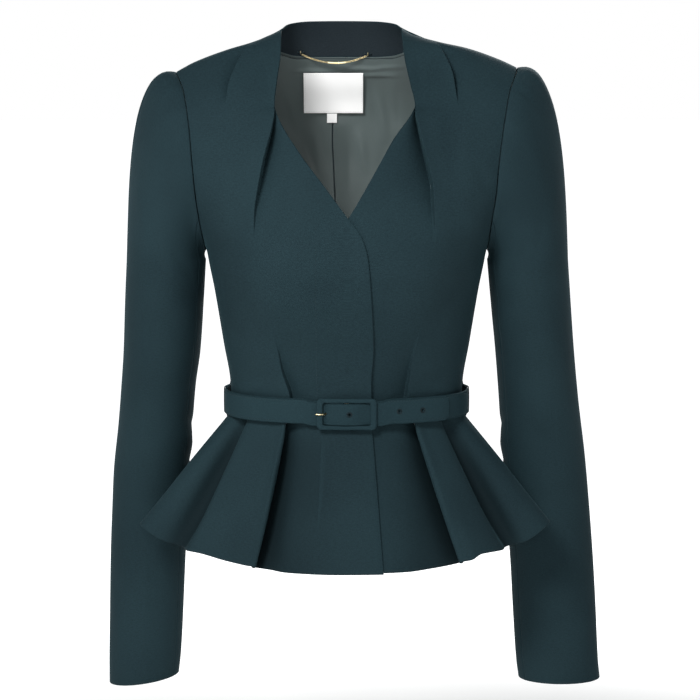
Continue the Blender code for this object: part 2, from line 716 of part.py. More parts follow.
PEPLUM_LEFT = (
    (-25, 0, -31.0, -145.5, -511.0),
    (0, 0, 2.0, -147.5, -511.8),
    (24, 0, 34.0, -147.0, -512.4),
    (44, 0, 60.0, -142.5, -512.4),
    (56, 0, 82.0, -132.0, -510.5),
    (62, 0, 100.0, -117.0, -508.0),
    (65.5, 0, 110.0, -101.0, -506.0),
    (68, 0, 115.0, -113.0, -505.0),
    (75, 0, 126.0, -118.5, -502.5),
    (84, 0, 138.0, -110.0, -499.5),
    (96, 0, 160.0, -90.0, -497.5),
    (103, 0, 168.5, -66.0, -494.0),
    (109, 0, 182.0, -68.5, -492.0),
    (115, 0, 201.0, -60.0, -484.5),
    (118, 0, 209.5, -45.0, -478.5),
    (118.8, 0, 200.0, -20.0, -480.0),
    (119, 0, 178.0, 10.0, -485.0),
    (118, 1, 162.0, 46.0, -489.0),
    (112, 1, 149.0, 87.0, -494.0),
    (96, 1, 136.0, 104.0, -498.0),
    (80, 1, 114.0, 112.0, -500.0),
    (66, 1, 92.0, 123.0, -501.0),
    (61, 1, 84.0, 105.0, -502.0),
    (52, 1, 68.0, 125.0, -503.0),
    (28, 1, 34.0, 138.0, -504.0),
    (0, 1, 0.0, 141.0, -504.0))
SIDE_LINE = 16


def peplum_surface(lines, side, per_line=1):
    """Columns from the middle front to the middle back, rows from the waist to the hem."""
    lines = np.array(lines, float)
    number = np.arange(len(lines), dtype=float)
    where = np.linspace(0, len(lines) - 1, (len(lines) - 1) * per_line + 1)
    reach = lines[:, 0] * side
    half = float(TORSO.at("half_width", WAIST))
    share = np.clip(reach / half, -1, 1)
    around = np.sign(share) * np.degrees(np.arcsin(np.abs(share) ** (SECTION_POWER / 2)))
    around = np.where(lines[:, 1] > 0, 180 - around, around)
    around = np.radians(smooth_curve(number, around, where))
    hem = np.stack([smooth_curve(number, lines[:, i], where) for i in (2, 3, 4)], axis=1)
    sine, cosine = np.sin(around), np.cos(around)
    waist_x = side * half * np.sign(sine) * np.abs(sine) ** (2 / SECTION_POWER)
    deep = np.where(cosine > 0, TORSO.at("front_depth", WAIST), TORSO.at("back_depth", WAIST))
    waist_y = -np.sign(cosine) * deep * np.abs(cosine) ** (2 / SECTION_POWER)
    if side < 0:
        waist_y = waist_y - OVERLAP_RISE * ease(-62, -36, waist_x) * (cosine > 0)
    rows = []
    for share_down in PEPLUM_ROWS:
        moved = FLARE.at("moved", share_down)
        x = waist_x + (hem[:, 0] - waist_x) * moved
        y = waist_y + (hem[:, 1] - waist_y) * moved
        z = WAIST + (hem[:, 2] - WAIST) * share_down
        rows.append(np.stack([x, y, z], axis=1))
    return np.array(rows)


def build_peplum():
    for word, side, lines in (("right", RIGHT_SIDE, PEPLUM_RIGHT), ("left", LEFT_SIDE, PEPLUM_LEFT)):
        outer = peplum_surface(lines, side)
        rows, count = outer.shape[:2]
        flat = outer.reshape(-1, 3)
        faces = face_out(flat, grid_faces(rows, count), (0, 0, -400))
        inner = outer - vertex_normals(flat, faces).reshape(rows, count, 3) * CLOTH
        for skin in (outer, inner):
            skin[..., 2] = np.minimum(skin[..., 2], WAIST - SEAM / 2)
        heart = (0, 0, -400)
        add_strip("peplum_front_" + word, outer, inner, np.arange(SIDE_LINE + 1), heart)
        add_strip("peplum_back_" + word, outer, inner, np.arange(SIDE_LINE, count), heart)


# Belt and buckle

BELT_FORM = dict(half=124.2, front=94.2, back=81.5)
BELT_LEVEL = -357.4
BUCKLE_LEVEL = -359.6
BUCKLE_HALF = 29.6
BUCKLE_TALL = 15.9
FRAME_BAR = 6.0
FRAME_THICK = 3.2
TAIL_END = 109.0
EYELETS = (-21.0, 3.0, 27.5, 52.5, 77.0)
EYELET_SIZE = 3.0


def belt_loop(count=1440):
    """Plan of the belt's inner face as a closed line from the middle front, with its length."""
    turn = np.linspace(0, 2 * np.pi, count + 1)
    sine, cosine = np.sin(turn), np.cos(turn)
    x = BELT_FORM["half"] * np.sign(sine) * np.abs(sine) ** (2 / SECTION_POWER)
    deep = np.where(cosine > 0, BELT_FORM["front"], BELT_FORM["back"])
    y = -deep * np.sign(cosine) * np.abs(cosine) ** (2 / SECTION_POWER)
    plan = np.stack([x, y], axis=1)
    length = np.concatenate([[0], np.cumsum(np.linalg.norm(np.diff(plan, axis=0), axis=1))])
    return plan, length


BELT_PLAN, BELT_ARC = belt_loop()
BELT_LOOP = float(BELT_ARC[-1])


def belt_point(along, height, out):
    """A point at a distance along the belt from the middle front, at a height, standing out."""
    along = np.asarray(along, float) % BELT_LOOP
    place = [np.interp(along, BELT_ARC, BELT_PLAN[:, i]) for i in (0, 1)]
    reach = 3.0
    ahead = [np.interp((along + reach) % BELT_LOOP, BELT_ARC, BELT_PLAN[:, i]) for i in (0, 1)]
    behind = [np.interp((along - reach) % BELT_LOOP, BELT_ARC, BELT_PLAN[:, i]) for i in (0, 1)]
    run = np.stack([ahead[0] - behind[0], ahead[1] - behind[1]], axis=-1)
    run = run / np.linalg.norm(run, axis=-1, keepdims=True)
    out = np.asarray(out, float)
    x = place[0] + run[..., 1] * out
    y = place[1] - run[..., 0] * out
    return np.stack([x, y, np.asarray(height, float) + 0 * x], axis=-1)


# The strap's way through the buckle: distance past the middle front and how far its inner face
# stands out from the waist.
STRAP_OUT = Table("along out", (-60, 0.3), (-28, 0.3), (-23, 0.4), (-22.5, 0.45), (-19.5, 2.9), (-15, 4.3),
                  (-9, 5.9), (-4, 6.6), (4, 6.7), (10, 6.0), (18, 3.6), (23, 2.8), (30, 2.7), (120, 2.7))


def belt_sections():
    """Stations along the strap, close together in the buckle and round each eyelet."""
    start = 3.4
    stations = set(np.arange(22, BELT_LOOP - 65, 15.5)) | {start, 10.0}
    through = {-60, -48, -40, -34, -29, -25, -17, -13, -9, -6, -3, 9, 13, 17, 21, 35, 42, 60, 68, 86, 95, 103}
    for eyelet in EYELETS:
        through |= {eyelet - EYELET_SIZE / 2, eyelet + EYELET_SIZE / 2}
    stations |= {BELT_LOOP + place for place in through}
    stations |= {BELT_LOOP + TAIL_END - 3, BELT_LOOP + TAIL_END}
    return np.array(sorted(stations))


def build_belt():
    stations = belt_sections()
    past = stations - BELT_LOOP
    in_buckle = ease(-46, -33, past) * (1 - ease(33, 46, past)) + (1 - ease(33, 46, stations))
    level = BELT_LEVEL + (BUCKLE_LEVEL - BELT_LEVEL) * in_buckle
    width = BELT_WIDTH - 3.4 * in_buckle
    width = width * (1 - 0.22 * ease(TAIL_END - 6, TAIL_END, past))
    out = np.where(past > -60, STRAP_OUT.at("out", past), 0.3)
    across = np.array([-0.5, -0.3, -EYELET_SIZE / 2 / BELT_WIDTH, EYELET_SIZE / 2 / BELT_WIDTH, 0.3, 0.5])
    crown = np.array([-0.3, 0.1, 0.2, 0.2, 0.1, -0.3])
    outer = np.array([belt_point(s, l + across * w, o + BELT_THICK + crown)
                      for s, l, w, o in zip(stations, level, width, out)])
    inner = np.array([belt_point(s, l + across * w, o + 0 * crown) for s, l, w, o in zip(stations, level, width, out)])
    rows, columns = outer.shape[:2]
    faces = []
    for r in range(rows - 1):
        for c in range(columns - 1):
            middle = (past[r] + past[r + 1]) / 2
            if c == 2 and any(abs(middle - eyelet) < 0.5 for eyelet in EYELETS):
                continue
            faces.append((r * columns + c, r * columns + c + 1, (r + 1) * columns + c + 1, (r + 1) * columns + c))
    flat = outer.reshape(-1, 3)
    faces = face_out(flat, faces, (0, 0, BELT_LEVEL))
    add_object("belt", *wall_mesh(flat, inner.reshape(-1, 3), faces))


def buckle_out(along):
    """The frame tips out a little to its end over the strap's tail."""
    return 2.7 + (5.2 - 2.7) * (along + BUCKLE_HALF) / (2 * BUCKLE_HALF)


def rounded_frame(half_long, half_tall, corner, per_corner):
    """Points of a rectangle with round corners, anticlockwise from the right."""
    points = []
    for quarter, (sx, sy) in enumerate(((1, 1), (-1, 1), (-1, -1), (1, -1))):
        for i in range(per_corner + 1):
            angle = np.radians(90 * quarter + 90 * i / per_corner)
            points.append((sx * (half_long - corner) + corner * np.cos(angle),
                           sy * (half_tall - corner) + corner * np.sin(angle)))
    return np.array(points)


def build_buckle():
    profile = [(-0.5, -0.28), (-0.5, 0.22), (-0.32, 0.46), (0, 0.54), (0.32, 0.46), (0.5, 0.22), (0.5, -0.28),
               (0.34, -0.5), (-0.34, -0.5)]
    path = rounded_frame(BUCKLE_HALF, BUCKLE_TALL, 4.6, 4)
    inside = rounded_frame(BUCKLE_HALF - FRAME_BAR, BUCKLE_TALL - FRAME_BAR * 0.75, 2.2, 4)
    rows = []
    for (xo, zo), (xi, zi) in zip(path, inside):
        ring = []
        for share, rise in profile:
            along = xi + (xo - xi) * (share + 0.5)
            level = zi + (zo - zi) * (share + 0.5)
            out = buckle_out(along) + FRAME_THICK * (rise + 0.5)
            ring.append(belt_point(along, BUCKLE_LEVEL + level, out))
        rows.append(ring)
    rows = np.array(rows)
    count, sides = rows.shape[:2]
    faces = []
    for r in range(count):
        for c in range(sides):
            s, d = (r + 1) % count, (c + 1) % sides
            faces.append((r * sides + c, s * sides + c, s * sides + d, r * sides + d))
    points = rows.reshape(-1, 3)
    if signed_volume(points, faces) < 0:
        faces = [tuple(reversed(face)) for face in faces]
    add_object("buckle_frame", points, faces)
    bar_half = BUCKLE_TALL - FRAME_BAR * 0.75 - SEAM
    base = float(buckle_out(0)) + 0.2
    add_box("buckle_bar", (-2.2, 2.2), (BUCKLE_LEVEL - bar_half, BUCKLE_LEVEL + bar_half), (base, base + 1.9))


def signed_volume(points, faces):
    total = 0.0
    for face in faces:
        for b, c in zip(face[1:], face[2:]):
            total += np.dot(points[face[0]], np.cross(points[b], points[c]))
    return total / 6


def add_box(name, along, height, out, **look):
    corners = [belt_point(s, z, o) for o in out for z in height for s in along]
    faces = [(0, 1, 3, 2), (4, 6, 7, 5), (0, 4, 5, 1), (2, 3, 7, 6), (0, 2, 6, 4), (1, 5, 7, 3)]
    points = np.array(corners)
    if signed_volume(points, faces) < 0:
        faces = [tuple(reversed(face)) for face in faces]
    add_object(name, points, faces, **look)


def add_tube(name, path, radius, sides, **look):
    """A round rod along a path, closed at its ends. Its rings are carried along without twist."""
    path = np.array(path, float)
    radius = np.broadcast_to(np.asarray(radius, float), len(path))
    run = np.gradient(path, axis=0)
    run /= np.linalg.norm(run, axis=1, keepdims=True)
    across = np.cross(run[0], (0.31, 0.23, 0.92))
    turn = np.arange(sides) * 2 * np.pi / sides
    rings = []
    for point, direction, size in zip(path, run, radius):
        across = across - direction * np.dot(across, direction)
        across /= np.linalg.norm(across)
        other = np.cross(direction, across)
        rings.append(point + size * (np.cos(turn)[:, None] * across + np.sin(turn)[:, None] * other))
    points = np.vstack(rings)
    faces = grid_faces(len(path), sides, closed=True)
    faces += [tuple(reversed(range(sides))), tuple(range((len(path) - 1) * sides, len(path) * sides))]
    if signed_volume(points, faces) < 0:
        faces = [tuple(reversed(face)) for face in faces]
    return add_object(name, points, faces, **look)


def build_prong():
    """The prong leaves the middle bar, comes up through its eyelet and lies on the frame."""
    way = ((-2.7, 4.9), (-7, 4.3), (-12, 3.2), (-16.5, 2.0), (-19.0, 1.8), (-20.8, 2.5), (-22.1, 4.2),
           (-23.4, 6.1), (-25.2, 7.1), (-27.5, 7.25), (-30.4, 7.1))
    path = [belt_point(along, BUCKLE_LEVEL, out) for along, out in way]
    add_tube("prong", path, 0.7, 8, colour=BRASS, roughness=0.3, metallic=1.0)


# Hanger chain, which swings on two thread bars at the back neck

CHAIN_LEFT_END = (-48.0, 1.4)
CHAIN_RIGHT_END = (22.4, -0.2)
CHAIN_LOW = (-9.9, -10.7)
CHAIN_OFF_COLLAR = 2.6
CHAIN_THICK = 1.1
EYE = dict(radius=1.4, wire=0.55, points=11)
THREAD = dict(radius=0.55, half_length=3.2)


def collar_face(x, z):
    """Depth of the inner face of the collar."""
    grid = collar_surface()
    faces = face_out(grid.reshape(-1, 3), grid_faces(*grid.shape[:2]), (-5, 0, 0))
    inner = grid - vertex_normals(grid.reshape(-1, 3), faces).reshape(grid.shape) * COLLAR_CLOTH
    return depth_on_grid(inner, x, z)


def chain_ends():
    ends = []
    for x, z in (CHAIN_LEFT_END, CHAIN_RIGHT_END):
        ends.append(np.array([x, collar_face(x, z + 0.6) - CHAIN_OFF_COLLAR, z]))
    return ends


def eye_points(centre, along, start, stop):
    """An open ring of wire round the line of the thread bars."""
    down = np.array([0, 0, -1.0])
    down -= along * np.dot(down, along)
    down /= np.linalg.norm(down)
    behind = np.cross(along, down)
    turns = np.radians(np.linspace(start, stop, EYE["points"]))
    return [centre + EYE["radius"] * (np.cos(t) * down + np.sin(t) * behind) for t in turns]


def build_chain():
    left, right = chain_ends()
    along = (right - left) / np.linalg.norm(right - left)
    first = eye_points(left, along, -285, 0)
    last = eye_points(right, along, 0, 285)
    low_share = (CHAIN_LOW[0] - left[0]) / (right[0] - left[0])
    hang = []
    for share in np.linspace(0.035, 0.965, 20):
        point = left + (right - left) * share
        steep = share / low_share if share < low_share else (1 - share) / (1 - low_share)
        level = (left[2] + (right[2] - left[2]) * share) - EYE["radius"]
        lowest = CHAIN_LOW[1] + CHAIN_THICK
        hang.append(np.array([point[0], point[1], level + (lowest - level) * (1 - (1 - steep) ** 2)]))
    path = first + hang + last
    ring = [EYE["wire"]] * len(first)
    width = ring + [EYE["wire"]] + [CHAIN_THICK] * (len(hang) - 2) + [EYE["wire"]] + ring
    add_tube("hanger_chain", path, width, 8, colour=BRASS, roughness=0.3, metallic=1.0)
    for name, centre in (("thread_bar_right", left), ("thread_bar_left", right)):
        reach = THREAD["half_length"]
        ends = [centre - along * reach, centre + along * reach]
        behind = [np.array([e[0], collar_face(e[0], e[2] + 0.6) - SEAM - 0.1, e[2] + 0.6]) for e in ends]
        near = [e + (b - e) * 0.2 for e, b in zip(ends, behind)]
        path = [behind[0], near[0], ends[0] + along * 0.7, ends[1] - along * 0.7, near[1], behind[1]]
        add_tube(name, path, THREAD["radius"], 8, colour=CREPE)


# Belt carriers at the side seams: height, and how far the inner face stands out from the waist

CARRIER = ((-338.2, -3.2), (-342.3, -2.6), (-343.7, 0.4), (-345.2, 2.9), (-357.4, 3.1), (-369.6, 2.9),
           (-371.3, 1.6), (-372.4, 0.1), (-374.6, -0.4))
CARRIER_WIDTH = 5.0
CARRIER_THICK = 1.0


def build_carriers():
    way = np.array(CARRIER)
    run = np.gradient(way, axis=0)
    run /= np.linalg.norm(run, axis=1, keepdims=True)
    outward = np.stack([run[:, 1], -run[:, 0]], axis=1)
    quarter = float(BELT_ARC[len(BELT_ARC) // 4])
    for name, middle in (("belt_carrier_left", quarter), ("belt_carrier_right", BELT_LOOP - quarter)):
        skins = []
        for lift in (CARRIER_THICK, 0.0):
            line = way + outward * lift
            skins.append(np.array([belt_point(middle + CARRIER_WIDTH * share, z, out)
                                   for z, out in line for share in (-0.5, 0, 0.5)]))
        faces = face_out(skins[0], grid_faces(len(way), 3), (0, 0, -357))
        add_object(name, *wall_mesh(skins[0], skins[1], faces))


def build():
    for piece in list(bpy.data.objects):
        bpy.data.objects.remove(piece)
    build_fronts()
    build_backs()
    build_collar()
    build_lining()
    build_labels()
    build_sleeves()
    build_peplum()
    build_belt()
    build_buckle()
    build_prong()
    build_chain()
    build_carriers()


build()
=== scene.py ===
# %% [markdown] # A peplum jacket, dressed round its packed solids The packed model gives one
# rigid solid for each piece of the jacket: fronts, backs, sleeves, the flared peplum, the belt
# and its buckle. Those solids are plain. Here each of them gets a finer shell on the same form,
# with real folds and seams, and a woven finish. All sizes below are in millimetres until a mesh
# is made.

import bpy
import numpy as np
from mathutils.kdtree import KDTree
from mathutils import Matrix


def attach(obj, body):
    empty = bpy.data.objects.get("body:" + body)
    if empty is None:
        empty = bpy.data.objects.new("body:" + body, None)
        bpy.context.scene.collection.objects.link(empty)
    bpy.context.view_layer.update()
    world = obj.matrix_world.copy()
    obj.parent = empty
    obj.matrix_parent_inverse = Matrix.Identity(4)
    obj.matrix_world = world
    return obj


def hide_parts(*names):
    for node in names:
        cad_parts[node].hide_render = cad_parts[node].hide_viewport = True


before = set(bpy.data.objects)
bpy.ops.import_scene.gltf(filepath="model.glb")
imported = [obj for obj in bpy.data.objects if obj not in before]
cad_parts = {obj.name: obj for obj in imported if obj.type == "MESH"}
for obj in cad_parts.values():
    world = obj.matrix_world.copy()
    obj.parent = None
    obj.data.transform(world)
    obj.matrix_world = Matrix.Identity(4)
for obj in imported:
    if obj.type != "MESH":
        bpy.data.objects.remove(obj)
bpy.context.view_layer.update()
MM = 0.001

# %% [markdown]
# ## Tables of sizes
# A tailor works from a chart: so many millimetres across at this height, so many at that one. The
# same idea drives every shape here. A table holds rows of sizes in millimetres, and a smooth curve
# is read between the rows. The curve is a monotone cubic, which never bulges past a row as a
# common spline can.

# %% A chart of sizes that is read on a smooth curve
def smooth_curve(knots, values, where):
    """Reads a monotone cubic through the values at the knots."""
    where = np.clip(np.asarray(where, float), knots[0], knots[-1])
    step = np.diff(knots)
    rise = np.diff(values) / step
    slope = np.empty(len(knots))
    slope[0], slope[-1] = rise[0], rise[-1]
    before, after = rise[:-1], rise[1:]
    total = np.where(before + after == 0, 1, before + after)
    slope[1:-1] = np.where(before * after > 0, 2 * before * after / total, 0)
    i = np.clip(np.searchsorted(knots, where) - 1, 0, len(step) - 1)
    t = (where - knots[i]) / step[i]
    start = (2 * t**3 - 3 * t**2 + 1) * values[i] + (t**3 - 2 * t**2 + t) * step[i] * slope[i]
    end = (3 * t**2 - 2 * t**3) * values[i + 1] + (t**3 - t**2) * step[i] * slope[i + 1]
    return start + end


class Chart:
    """Rows of sizes, sorted by their first column. A column is read by its name."""

    def __init__(self, names, *rows):
        self.names = names.split()
        self.rows = np.array(sorted(rows), float)

    def at(self, name, where):
        return smooth_curve(self.rows[:, 0], self.rows[:, self.names.index(name)], where)


def ease(low, high, value):
    """0 at low, 1 at high, with a soft start and end."""
    t = np.clip((value - low) / (high - low), 0, 1)
    return t * t * (3 - 2 * t)


print("halfway between rows of 0 and 10:", float(Chart("at size", (0, 0), (1, 10)).at("size", 0.5)))

# %% Small helpers for points and lines
def unit(vectors):
    """Vectors made one long."""
    return vectors / np.linalg.norm(vectors, axis=-1, keepdims=True)


def run_along(points):
    """The distance along a line from its first point to each of its points."""
    return np.concatenate([[0], np.cumsum(np.linalg.norm(np.diff(points, axis=0), axis=1))])


def signed_power(values, power):
    """A power that keeps the sign. On a sine and a cosine it squares or softens an oval."""
    return np.sign(values) * np.abs(values) ** power


def cells(number):
    """The four corners of every cell in a grid of point numbers."""
    return np.stack([number[:-1, :-1], number[:-1, 1:], number[1:, 1:], number[1:, :-1]], axis=-1)


print("cells in a grid of 3 by 3 points:", cells(np.arange(9).reshape(3, 3)).reshape(-1, 4).tolist())


# %% [markdown]
# ## The form of the body
# The jacket is cut close to a figure, so its body is one rounded form: wide at the shoulders,
# narrow at the waist, fuller at the front for the bust. At each height the section is a flattened
# ellipse, and towards the shoulders it rolls over the ridge on which the shoulder seam lies.

# %% The chart of the body
CLOTH = 1.8  # thickness of the cloth with its lining
GAP = 0.04  # between two pieces at a seam
WAIST, UNDERARM, CORNER = -357.0, -200.7, -50.8  # heights: waist seam, armhole's foot, neck corner
RIDGE_Y = 5.0  # how far back the shoulder seam lies
SECTION_POWER = 2.3  # 2 is an ellipse, more is squarer
RIGHT, LEFT = -1, 1  # the wearer's sides
SIDES = (("right", RIGHT), ("left", LEFT))

TORSO = Chart("z half_width front_depth back_depth",
              (-357, 119.0, 88, 76), (-330, 121.6, 89, 78), (-300, 127.0, 94, 84), (-270, 131.8, 103, 91),
              (-240, 136.8, 113, 96), (-215, 141.8, 118, 100), (-200.7, 144.6, 117, 101),
              (-160, 164.0, 108, 104), (-120, 183.0, 98, 102), (-80, 198.0, 84, 95), (-40, 205.0, 70, 84),
              (0, 206.0, 53, 68), (40, 206.0, 50, 64))
RIDGE = Chart("across right left roll",
              (0, 45, 45, 108), (40, 38, 36, 105), (57, 29.5, 26, 100), (67, 24.4, 20.5, 96),
              (95, 12.8, 12.4, 88), (123, 4.4, 6.3, 78), (156, -8, -5, 64), (175, -18.2, -13.8, 56),
              (190, -27, -22, 54))
ARMHOLE = Chart("z right left",
                (-200.7, 144.6, 144.6), (-171, 149.0, 146.9), (-144, 152.6, 151.0), (-112, 155.5, 153.6),
                (-74, 158.9, 158.6), (-38, 165.3, 165.6), (-14, 177.3, 176.1))
BUST = dict(across=78, height=-225, rise=10, wide=45, tall=55)


def ridge_height(x):
    return np.where(x < 0, RIDGE.at("right", np.abs(x)), RIDGE.at("left", np.abs(x)))


def armhole_across(z, side):
    return ARMHOLE.at("right" if side == RIGHT else "left", z)


def outer_across(z, side):
    return np.where(z < UNDERARM, TORSO.at("half_width", z), armhole_across(z, side))


def torso_depth(x, z, front):
    """How far forward or back the form's surface lies at a place across and up."""
    share = np.clip(np.abs(x) / TORSO.at("half_width", z), 0, 1)
    fall = (1 - share**SECTION_POWER) ** (1 / SECTION_POWER)
    depth = TORSO.at("front_depth" if front else "back_depth", z) * fall
    if front:
        across = (np.abs(x) - BUST["across"]) / BUST["wide"]
        up = (z - BUST["height"]) / BUST["tall"]
        depth = depth + BUST["rise"] * fall * np.exp(-across**2 - up**2)
    drop = np.clip((ridge_height(x) - z) / RIDGE.at("roll", np.abs(x)), 0, 1)
    turn = np.sqrt(1 - (1 - drop) ** 2)
    return RIDGE_Y * (1 - ease(0, 1, drop)) + (-turn if front else turn) * depth


def seam_depth(z):
    """Where the side and shoulder seams lie from front to back."""
    return RIDGE_Y * ease(-150, -70, z)


def form_normal(x, z, front, reach=1.2):
    """Which way the form faces, from three close points on it."""
    limit = TORSO.at("half_width", z) - 0.01
    right, left = np.clip(x + reach, -limit, limit), np.clip(x - reach, -limit, limit)
    turn = torso_depth(right, z, front) - torso_depth(left, z, front)
    climb = torso_depth(x, z, front) - torso_depth(x, z - reach, front)
    across = np.stack([right - left, turn, 0 * z], axis=-1)
    up = np.stack([0 * z, climb, reach + 0 * z], axis=-1)
    return unit(np.cross(across, up))


print("waist half width", float(TORSO.at("half_width", WAIST)), "mm")

# %% [markdown]
# ## From points to cloth
# Cloth is a shell: a face side, a wrong side and a turned edge. A simple way is the Solidify
# modifier, but a jacket's wrong side is not a copy of its face. A pleat stands up on the face
# while the lining below stays smooth. So both sides are worked out here, and the edge between
# them is rounded like a folded edge. Two rounded edges side by side read as a seam.

# %% Faces of a grid, and which way they look
def grid_quads(rows, columns, closed=False):
    number = np.arange(rows * columns).reshape(rows, columns)
    if closed:
        number = np.hstack([number, number[:, :1]])
    return cells(number).reshape(-1, 4)


def point_normals(points, quads):
    """Which way the faces round each point look, large faces counting more."""
    a, b, c, d = (points[quads[:, i]] for i in range(4))
    area = np.cross(c - a, d - b)
    normals = np.zeros_like(points)
    for i in range(4):
        np.add.at(normals, quads[:, i], area)
    length = np.linalg.norm(normals, axis=1, keepdims=True)
    return normals / np.where(length == 0, 1, length)


def facing(points, quads, heart):
    """The faces, turned to look away from the heart of the piece."""
    normals = point_normals(points, quads)
    return quads if np.sum(normals * (points - np.array(heart))) > 0 else quads[:, ::-1]


def grid_normals(grid, heart):
    flat = grid.reshape(-1, 3)
    return point_normals(flat, facing(flat, grid_quads(*grid.shape[:2]), heart)).reshape(grid.shape)


print("faces round a tube of 5 by 8 points:", len(grid_quads(5, 8, closed=True)))

# %% The points of a shell with rounded edges
def open_edges(quads, count):
    """Edges that only one face uses, in that face's direction."""
    a = quads.ravel()
    b = np.roll(quads, -1, axis=1).ravel()
    real = a != b
    a, b = a[real], b[real]
    lonely = ~np.isin(a * count + b, b * count + a)
    return a[lonely], b[lonely]


ROUND_TURNS = np.radians((45, 90, 135))


def shell_points(outer, inner, quads, edge_round):
    """Face side, wrong side and three rings of points round the edge, with all the faces."""
    count = len(outer)
    a, b = open_edges(quads, count)
    normals = point_normals(outer, quads)
    away = np.zeros_like(outer)
    side = np.cross(outer[b] - outer[a], normals[a] + normals[b])
    np.add.at(away, a, side)
    np.add.at(away, b, side)
    rim = np.unique(a)
    away = unit(away[rim])
    middle, half = (outer[rim] + inner[rim]) / 2, (outer[rim] - inner[rim]) / 2
    outer, inner = outer.copy(), inner.copy()
    rings = [middle + half * np.cos(t) + away * edge_round * (np.sin(t) - 1) for t in ROUND_TURNS]
    outer[rim] = middle + half - away * edge_round
    inner[rim] = middle - half - away * edge_round
    number = np.full(count, -1)
    number[rim] = np.arange(len(rim))
    level = [2 * count + k * len(rim) + number for k in range(len(ROUND_TURNS))]
    level = [np.arange(count)] + level + [np.arange(count) + count]
    faces = [quads, quads[:, ::-1] + count]
    faces += [np.stack([high[b], high[a], low[a], low[b]], axis=1) for high, low in zip(level, level[1:])]
    return np.vstack([outer, inner] + rings), faces, rim


print("rings round a rounded edge:", len(ROUND_TURNS))

# %% Putting a mesh in the scene
def put_in_scene(name, data):
    thing = bpy.data.objects.new(name, data)
    bpy.context.scene.collection.objects.link(thing)
    return thing


def link_mesh(name, points, faces, uv=None, materials=(), slots=None):
    """Points are in millimetres. Faces are rows of point numbers, where a repeated one is dropped."""
    clean = [tuple(v for i, v in enumerate(face) if v != face[i - 1]) for face in faces]
    mesh = bpy.data.meshes.new(name)
    mesh.from_pydata((np.asarray(points) * MM).tolist(), [], clean)
    for material in materials:
        mesh.materials.append(material)
    if slots is not None:
        mesh.polygons.foreach_set("material_index", np.asarray(slots, dtype=np.int32))
    if uv is not None:
        layer = mesh.uv_layers.new(name="cloth")
        corner = np.empty(len(mesh.loops), dtype=np.int32)
        mesh.loops.foreach_get("vertex_index", corner)
        layer.data.foreach_set("uv", (np.asarray(uv)[corner] * MM).ravel())
    mesh.shade_smooth()
    return put_in_scene(name, mesh)


# %% A piece of cloth
cut_area = {}


def cloth_shell(name, outer, inner, quads, uv, heart, face, back, back_where=None, edge_round=0.55):
    """A closed shell of cloth. The wrong side may be another cloth from some way in."""
    turned = facing(outer, quads, heart)
    points, groups, rim = shell_points(outer, inner, turned, edge_round)
    faces = np.vstack(groups)
    uv_all = np.vstack([uv, uv] + [uv[rim]] * len(ROUND_TURNS))
    slots = np.zeros(len(faces), dtype=np.int32)
    wrong = slice(len(turned), 2 * len(turned))
    slots[wrong] = 1 if back_where is None else back_where[turned].all(axis=1)
    piece = link_mesh(name, points, faces.tolist(), uv_all, (face, back), slots)
    corners = outer[turned]
    diagonals = np.cross(corners[:, 2] - corners[:, 0], corners[:, 3] - corners[:, 1])
    cut_area[name] = float(np.linalg.norm(diagonals, axis=1).sum() / 2) * MM * MM
    print(name, len(points), "points,", round(cut_area[name], 4), "m2 of cloth")
    return piece


def arc_uv(grid):
    """Distances across and along a gridded panel, so that the weave follows the cloth."""
    across = np.linalg.norm(np.diff(grid, axis=1), axis=2)
    u = np.concatenate([np.zeros((len(grid), 1)), np.cumsum(across, axis=1)], axis=1)
    u -= u[:, u.shape[1] // 2][:, None]
    along = np.linalg.norm(np.diff(grid, axis=0), axis=2).mean(axis=1)
    v = np.concatenate([[0], np.cumsum(along)])[:, None] + 0 * u
    return np.stack([u, v], axis=-1)


def grid_shell(name, outer, inner, heart, face, back, measured=None, **options):
    """A shell of cloth from two grids. The weave is measured on a grid, the outer one unless told."""
    uv = arc_uv(outer if measured is None else measured).reshape(-1, 2)
    quads = grid_quads(*outer.shape[:2])
    return cloth_shell(name, outer.reshape(-1, 3), inner.reshape(-1, 3), quads, uv, heart, face, back, **options)


def finer(values, steps):
    """Insert evenly spaced values between neighbours."""
    values = np.asarray(values, float)
    where = np.linspace(0, len(values) - 1, (len(values) - 1) * steps + 1)
    return np.interp(where, np.arange(len(values)), values)


# %% [markdown]
# ## Creases
# Worn cloth is never quite smooth: it drags a little from the armhole, bends at the elbow and
# bunches above a belt. Each crease here is one soft trough or ridge along a short line, with its
# own length, width and depth. A row of a crease table holds the two ends of the line, the width
# and the height, which is negative for a trough.

# %% The height of a set of creases at each point
def crease_height(rows, a, b):
    """Adds up the creases of a table at places given in its own two measures."""
    total = np.zeros(np.broadcast(a, b).shape)
    for a0, b0, a1, b1, width, height in rows:
        run_a, run_b = a1 - a0, b1 - b0
        length = np.hypot(run_a, run_b)
        along = ((a - a0) * run_a + (b - b0) * run_b) / length**2
        off = ((a - a0) * run_b - (b - b0) * run_a) / length
        fade = np.where((along > 0) & (along < 1), np.sin(np.pi * np.clip(along, 0, 1)) ** 1.2, 0)
        total += height * fade * np.exp(-((off / width) ** 2))
    return total


print("a crease of 2 mm, at its middle:", float(crease_height([(0, 0, 10, 0, 3, 2.0)], 5.0, 0.0)), "mm")

# %% [markdown]
# ## Shader maths in Python
# A material is a graph of nodes. Long graphs are hard to read when each link is a line of its own,
# so one small class wraps a socket and lets Python's operators add the Math nodes. One method
# makes every other node: it takes the type, its settings, and the values or links of its sockets.

